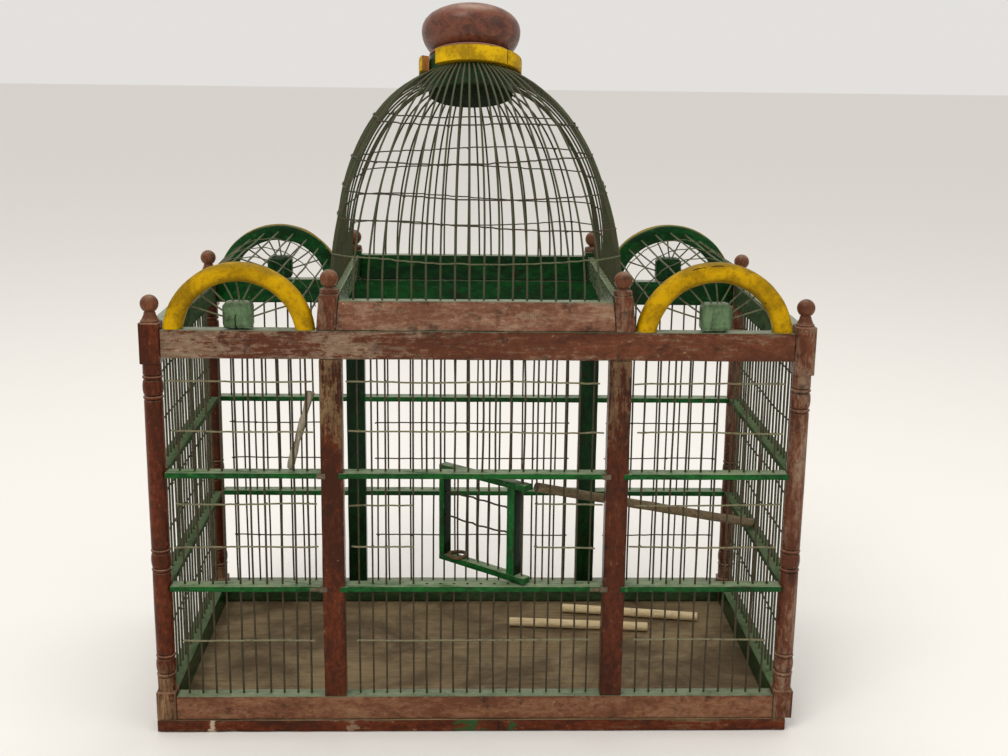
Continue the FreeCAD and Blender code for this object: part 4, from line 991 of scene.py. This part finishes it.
feet = dome_feet()
for side, row in feet.items():
    build = Build()
    for n, foot in enumerate(row):
        inward, start, _, _ = dome_course(foot)
        base = BOARD_TOP + LOOSE_LIFT if (side, n) == LOOSE_WIRE else BOARD_TOP - 1
        path = [Vector((foot.x, foot.y, base))]
        if start > BOARD_TOP + 4:
            path.append(Vector((foot.x, foot.y, (BOARD_TOP + start) / 2)))
        path += [dome_point(foot, k / DOME_STEPS) for k in range(DOME_STEPS + 1)]
        swing = Vector((-inward.y, inward.x, 0)) * jitter(DOME_SWING)
        last = len(path) - 1
        path = [p + swing * sin(pi * k / last) for k, p in enumerate(path)]
        build.tube(path, WIRE / 2 * random.uniform(*DOME_STOUT), 7)
    build.make(f"dome_wires_{side}", "cage", "wire", ["wire_green"])
build = Build()
ring = [foot for row in feet.values() for foot in row]
for n, share in enumerate(BAND_SHARES):
    path = []
    for k, foot in enumerate(ring):
        sway = band_sway(n, 2 * pi * k / len(ring))
        height = BOARD_TOP + share * (CROWN.z - BOARD_TOP) + sway
        point, out = dome_outer(foot, height)
        path.append(point + out * (WIRE / 2 + TIE * 0.5))
        after, _ = dome_outer(ring[(k + 1) % len(ring)], height)
        path.append((path[-1] + after + out * (WIRE / 2 + TIE * 0.4)) / 2)
        if (k * 7 + n * 3) % 9 == 0:
            tie_turn(build, point)
        if k in CURL_WIRES and n in CURL_BANDS:
            curl(build, path[-2], out, CURL_SIZE)
    # The lowest band takes the paler, lit wire paint: painted light.
    build.tube(path, TIE * 0.6, 6, 1 if n == 0 else 0, loop=True)
build.make("dome_bands", "cage", "wire", ["wire", "wire_vault"])

# The crown, leaning back: profiles are (height, radius, edge mark for wear and painted edge shade, and a
# painted highlight on the knob's bead), the collar's section (radius, height, wear)
CROWN_TURN = Matrix.Translation(CROWN) @ Matrix.Rotation(TILT, 4, Vector((-1, 0, 0)))
HUB = ((-HUB_FOOT, HUB_R - 1.5, 0.5), (1 - HUB_FOOT, HUB_R - 0.3, 0.5), (-8, HUB_R - 0.2, 0),
       (COLLAR_H, HUB_R - 0.2, 0))
COLLAR = (
    (COLLAR_IN, 0.8, 0.3), (COLLAR_IN + 1, 0, 0.6), (COLLAR_OUT - 1.2, 0, 0.6), (COLLAR_OUT - 0.2, 0.9, 0.9),
    (COLLAR_OUT, 5, 0), (COLLAR_OUT, 11, 0), (COLLAR_OUT - 0.2, COLLAR_H - 0.9, 0.9),
    (COLLAR_OUT - 1.2, COLLAR_H, 0.6), (COLLAR_IN + 1, COLLAR_H, 0.3), (COLLAR_IN, COLLAR_H - 0.8, 0.3))
COLLAR_START, COLLAR_END, COLLAR_STEPS, COLLAR_BEVEL, COLLAR_UNEVEN = 45.8, 134.2, 16, 0.7, 0.35
LOOSE_QUARTER, LOOSE_END, LOOSE_SLIP = 1, 112, Vector((-1.6, 0, -1))
KNOB_NECK = ((0, 38, 0), (1.6, 38, 0), (2.6, 40.2, 1), (3.6, 40.6, 1), (4.4, 40, 1), (KNOB_GAP - 0.4, 35, 0),
             (KNOB_GAP + 0.2, 35.4, 0))
KNOB = (
    (0.01, 0.755), (0.06, 0.82), (0.15, 0.89), (0.25, 0.945), (0.35, 0.98), (0.45, 0.997), (0.52, 1.0),
    (0.61, 0.985), (0.70, 0.945), (0.78, 0.88), (0.84, 0.80), (0.895, 0.70), (0.94, 0.58), (0.975, 0.42),
    (0.995, 0.24), (1.0, 0.08))


def crowned(point):
    return CROWN_TURN @ point


def collar_quarter(build, quarter):
    """One block of the collar; the loose one is shorter, has slipped and shows its end grain."""
    loose = quarter == LOOSE_QUARTER
    first = radians(COLLAR_START + 90 * quarter)
    last = radians((LOOSE_END if loose else COLLAR_END) + 90 * quarter)
    rings, wear = [], []
    for k in range(COLLAR_STEPS + 1):
        t = first + (last - first) * k / COLLAR_STEPS
        pull = COLLAR_BEVEL if k in (0, COLLAR_STEPS) else 0.0
        slip = LOOSE_SLIP * (k / COLLAR_STEPS) if loose else Vector()
        ring = []
        for r, h, _ in COLLAR:
            r = min(max(r, COLLAR_IN + pull * 0.4), COLLAR_OUT - pull)
            h = min(max(h, pull), COLLAR_H - pull)
            r += COLLAR_UNEVEN * noise.noise(polar(3, t, h * 0.1 + quarter))
            ring.append(crowned(polar(r, t, h) + slip))
        rings.append(ring)
        wear.append([max(worn, 0.8 if pull else 0) for _, _, worn in COLLAR])
    build.loft(rings, 0, wear)
    if loose:
        build.mats[-1] = 1


build = Build()
build.lathe(HUB, crowned, sides=56)
# The hub's faces that look down take the shadow material: painted shade on the underside.
build.make("crown_hub", "cage", "green_paint", ["crown_hub", "shadow"], facing(-UP))
build = Build()
for quarter in range(4):
    collar_quarter(build, quarter)
build.make("crown_collar", "cage", "yellow_paint", ["collar", "end_grain"])
build = Build()
profile = [(COLLAR_H + h, r, worn) for h, r, worn in KNOB_NECK]
profile += [(COLLAR_H + KNOB_GAP + h * KNOB_H, r * KNOB_R, 0) for h, r in KNOB]
build.lathe(profile, crowned, sides=64)
build.make("crown_knob", "cage", "brown_paint", ["knob"])

# Vaults
ARCH_STEPS, FLAT_POWER, ROUND_POWER = 40, 0.3, 0.8
EMPTY_HOLES = (-34, -20, 8, 23, 38, 52)
SPLIT_START, SPLIT_STEP, SPLIT_R = -27, 3.1, 0.5
VAULT_WAVE, VAULT_WAVE_SCALE = 1.6, 0.012
HOOP_SHARES, HOOP_ANGLE, HOOP_REACH, HOOP_STEPS = (0.25, 0.5, 0.75), 76, 136, 30
HOOP_GAP, HOOP_RIPPLE, HOOP_STRAY = 0.6, 0.5, 2.2
CREASE_X, CREASE_R, CREASE = -1.5, 0.6, ((0.4, 1), (0, 5), (-0.3, 10), (0.2, 14))
FAN_ROOT, FAN_SWING, FAN_THICK = 1.2, (0.6, 0.4, 0.6), 0.9
FAN_CURL, FAN_CURL_SIZE = Vector((222, -138.5, 446)), 2.2


def arch_sizes(side):
    """An arch's middle, outer radius and band, and how far the middle lies below its feet."""
    centre, span = ARCHES[side]
    rise = ARCH_RISE * span
    radius = (span ** 2 / 4 + rise ** 2) / (2 * rise)
    drop = radius - rise
    return Vector((centre, 0, FRAME_TOP - drop)), radius, ARCH_BAND * span, drop


def on_circle(middle, radius, angle, y):
    """A place on a circle about an arch's middle, at an angle from upright."""
    return middle + Vector((radius * sin(angle), y, radius * cos(angle)))


def add_arch(build, side, sy):
    """An arch, round on its outer face and flat inside."""
    middle, radius, band, drop = arch_sizes(side)
    rings, wear = [], []
    for k in range(ARCH_STEPS + 1):
        share = 2 * k / ARCH_STEPS - 1
        ring, marks = [], []
        for turn in circle(24):
            up, back = cos(turn), sin(turn)
            power = FLAT_POWER if back * sy < 0 else ROUND_POWER
            depth = ARCH_DEPTH / 2 * copysign(abs(back) ** power, back) * 0.97
            out = radius - band / 2 + band / 2 * copysign(abs(up) ** power, up)
            lean = share * acos(min(1, drop / out))
            out -= 0.5 + 0.5 * noise.noise(Vector((share * 5, turn, ARCHES[side][0] * 0.01 + sy)))
            point = on_circle(middle, out, lean, sy * POST_Y + depth)
            point.z = max(point.z, FRAME_TOP)
            ring.append(point)
            worn = 0.5 if abs(up) > 0.3 and abs(back) > 0.3 else 0.0
            marks.append(0.8 if k in (0, ARCH_STEPS) else worn)
        rings.append(ring)
        wear.append(marks)
    build.loft(rings, 0, wear)


def add_empty_holes(build, side):
    middle, radius, band, _ = arch_sizes(side)
    y = POST_Y - ARCH_DEPTH / 2 + 0.4
    row = [on_circle(middle, radius - band / 2, radians(angle), y) for angle in EMPTY_HOLES]
    holes(build, row, Vector((0, -1, 0)), 2)


def add_split(build, side):
    """A crack along the front of an arch, drawn as a dark line of painted shade."""
    middle, radius, band, _ = arch_sizes(side)
    path = []
    for k in range(12):
        angle = radians(SPLIT_START + SPLIT_STEP * k)
        out = radius - band * (0.16 + 0.03 * sin(k * 1.3))
        path.append(on_circle(middle, out, angle, -POST_Y - ARCH_DEPTH / 2 * 0.72))
    build.tube(path, SPLIT_R, 5, 2)


def arch_paint(side, sy):
    """The arches are green inside, and the rear ones underneath as well."""
    middle = arch_sizes(side)[0]

    def pick(centre, normal, index):
        if index == 2:
            return 2
        radial = Vector((centre.x - middle.x, 0, centre.z - middle.z)).normalized()
        underneath = sy > 0 and normal.dot(radial) < -0.35
        return 1 if normal.y * sy < -0.55 or underneath else 0
    return pick


def add_hub(build, side, sy):
    """The block at the foot of an arch, with rounded shoulders."""
    centre, span = ARCHES[side]
    half, height, y = ARCH_HUB_WIDTH * span / 2, ARCH_HUB_HEIGHT * span, sy * POST_Y

    def shouldered(p):
        top = max(0, (p.z - FRAME_TOP) / height - 0.8) / 0.2
        return Vector((centre + (p.x - centre) * (1 - 0.17 * top ** 2), p.y, p.z))

    build.block((centre - half, y - ARCH_HUB_DEPTH / 2, FRAME_TOP),
                (centre + half, y + ARCH_HUB_DEPTH / 2, FRAME_TOP + height),
                0 if sy < 0 else 1, 4.2, 0.5, shouldered, centre)


def vault_wires(side):
    """The long wires from arch to arch, and thin hoops over them."""
    middle, radius, band, _ = arch_sizes(side)
    centre, wire_r = ARCHES[side][0], radius - band / 2
    build = Build()
    for k in range(VAULT_WIRES):
        angle = radians((2 * k / (VAULT_WIRES - 1) - 1) * VAULT_ANGLE)
        path = []
        for n in range(13):
            point = on_circle(middle, wire_r, angle, VAULT_REACH * (n / 12 - 0.5))
            path.append(wobble(point, k * 0.8 + centre, VAULT_WAVE * sin(pi * n / 12), VAULT_WAVE_SCALE))
        build.tube(path, WIRE / 2, 7)
    for share in HOOP_SHARES:
        path = []
        for k in range(HOOP_STEPS + 1):
            angle = radians((2 * k / HOOP_STEPS - 1) * HOOP_ANGLE)
            out = wire_r + WIRE / 2 + HOOP_GAP + HOOP_RIPPLE * sin(k * 1.7)
            stray = HOOP_STRAY * noise.noise(Vector((k * 0.2, share * 9, centre)))
            path.append(on_circle(middle, out, angle, (2 * share - 1) * HOOP_REACH + stray))
        build.tube(path, TIE * 0.45, 5)
    # The vault wires take the paler, lit wire paint: painted light.
    build.make(f"vault_wires_{side}", "cage", "wire", ["wire_vault"])


hubs, fans = Build(), Build()
for side in ARCHES:
    for wall, sy, paint in (("front", -1, "yellow"), ("rear", 1, "olive")):
        build = Build()
        add_arch(build, side, sy)
        if (wall, side) == ("rear", "left"):
            add_empty_holes(build, side)
        if (wall, side) == ("front", "right"):
            add_split(build, side)
        node = f"vault_arch_{wall}_{side}"
        build.make(node, "cage", "yellow_paint", [paint, "mid_x", "dark"], arch_paint(side, sy))
        add_hub(hubs, side, sy)
    vault_wires(side)
for low, high, points in solids("fan_wires"):
    spot = (low + high) / 2
    far = max(points, key=lambda p: (p - spot).length)
    ahead = (far - spot).normalized()
    reach = ahead * (max(abs((p - spot).dot(ahead)) for p in points) + FAN_ROOT)
    swing = Vector([jitter(most) for most in FAN_SWING])
    path = [spot - reach, spot - reach * 0.4 + swing, spot + reach * 0.4 + swing * 0.7, spot + reach]
    fans.tube(path, WIRE / 2 * FAN_THICK, 7)
curl(fans, FAN_CURL, Vector((0, -1, 0)), FAN_CURL_SIZE)
# A crease down the front of a hub, drawn as a dark line of painted shade.
crease_foot = Vector((ARCHES["left"][0] + CREASE_X, -POST_Y - ARCH_HUB_DEPTH / 2 + 0.5, FRAME_TOP))
hubs.tube([crease_foot + Vector((dx, 0, dz)) for dx, dz in CREASE], CREASE_R, 6, 2)
hubs.make("vault_hubs", "cage", "sage_paint", ["sage", "inner_z", "shadow"])
# The fan wires take the paler, lit wire paint: painted light.
fans.make("fan_wires", "cage", "wire", ["wire_vault"])

# Perches
STICK_STEPS, STICK_SIDES, STICK_END, STICK_TIP, STICK_BODY = 14, 18, 0.5, 0.82, 0.985


def whittled(node, radius, bend):
    """A slightly bent stick along each solid of a node."""
    build = Build()
    for _, _, points in solids(node):
        spot = sum(points, Vector()) / len(points)
        far = max(points, key=lambda p: (p - spot).length)
        ends = [p for p in points if (p - far).length < radius * 2.2]
        tip = sum(ends, Vector()) / len(ends)
        ahead = (tip - spot).normalized()
        side = ahead.orthogonal().normalized()
        up = ahead.cross(side)
        path = []
        for k in range(STICK_STEPS + 1):
            share = 2 * k / STICK_STEPS - 1
            path.append(wobble(spot + (tip - spot) * share, radius, bend * (1 - share ** 2)))
        first, last = path[0], path[-1]
        path = [first, first + ahead * STICK_END] + path[1:-1] + [last - ahead * STICK_END, last]
        rings = []
        for k, point in enumerate(path):
            r = radius * (STICK_TIP if k in (0, len(path) - 1) else STICK_BODY)
            if node == "perch_stick":
                r *= 1 + 0.16 * sin(k * 1.1) + 0.1 * sin(k * 2.3)
            rings.append([point + (side * cos(t) + up * sin(t)) * r for t in circle(STICK_SIDES)])
        build.loft(rings)
    return build


for node, radius, bend, mat in (("perch_dowel", 4.6, 1.6, "perch"), ("perch_stick", 3.3, 3.0, "stick"),
                                ("floor_dowels", 4.9, 0.2, "pine")):
    whittled(node, radius, bend).make(node, "cage", "bare_wood", [mat])

# Camera at the photograph's angle
CAMERA_PLACE = Vector((-0.01844, -1.33909, 0.62913))
FOCAL_PIXELS, IMAGE_WIDTH, SENSOR_WIDTH, NEAR_CLIP = 1347.45, 1008, 36, 0.05
YAW, PITCH, ROLL = -0.034, 0.231, 0.013


def camera_turn():
    base = Matrix(((1, 0, 0), (0, 0, -1), (0, 1, 0)))
    about_z, about_x = Matrix.Rotation(-YAW, 3, "Z"), Matrix.Rotation(PITCH, 3, "X")
    rows = Matrix.Rotation(ROLL, 3, "Z") @ about_x @ base @ about_z
    return Matrix((rows[0], -rows[1], -rows[2])).transposed()


data = bpy.data.cameras.new("camera")
data.sensor_width = SENSOR_WIDTH
data.lens = FOCAL_PIXELS * SENSOR_WIDTH / IMAGE_WIDTH
data.clip_start = NEAR_CLIP
camera = bpy.data.objects.new("camera", data)
camera.matrix_world = Matrix.Translation(CAMERA_PLACE) @ camera_turn().to_4x4()
bpy.context.scene.collection.objects.link(camera)
bpy.context.scene.camera = camera

# Studio: lamps as name, place, aim, width, power and colour
WORLD_LIGHT, WORLD_TONE = 0.77, (1.0, 0.975, 0.94, 1)
FLOOR_HALF, FLOOR_TONE = 30, (240, 238, 234)
LAMPS = (
    ("key", (-1.3, -2.21, 3.38), (0, 0, 0.35), 1.7, 50, (1, 0.975, 0.94)),
    ("fill", (1.7, -1.3, 1.5), (0, 0, 0.35), 1.4, 5, (1, 0.97, 0.92)),
    ("top", (0.1, 0.5, 2.4), (0, 0, 0.4), 1.2, 12, (1, 0.97, 0.92)))


def area_light(name, place, aim, width, power, colour):
    data = bpy.data.lights.new(name, "AREA")
    data.size = width
    data.energy = power
    data.color = colour
    light = bpy.data.objects.new(name, data)
    light.location = place
    light.rotation_euler = (Vector(aim) - Vector(place)).to_track_quat("-Z", "Y").to_euler()
    bpy.context.scene.collection.objects.link(light)


scene = bpy.context.scene
scene.view_settings.view_transform = "Standard"
world = bpy.data.worlds.new("studio")
world.use_nodes = True
sky = world.node_tree.nodes["Background"]
sky.inputs["Color"].default_value = WORLD_TONE
sky.inputs["Strength"].default_value = WORLD_LIGHT
scene.world = world
mesh = bpy.data.meshes.new("studio_floor")
corners = [(x * FLOOR_HALF, y * FLOOR_HALF, 0) for x, y in ((-1, -1), (1, -1), (1, 1), (-1, 1))]
mesh.from_pydata(corners, [], [(0, 1, 2, 3)])
floor = bpy.data.objects.new("studio_floor", mesh)
pale = Shade("studio_pale")
floor.data.materials.append(pale.finish(linear(FLOOR_TONE), 0.9, gloss=0.1))
scene.collection.objects.link(floor)
for lamp in LAMPS:
    area_light(*lamp)
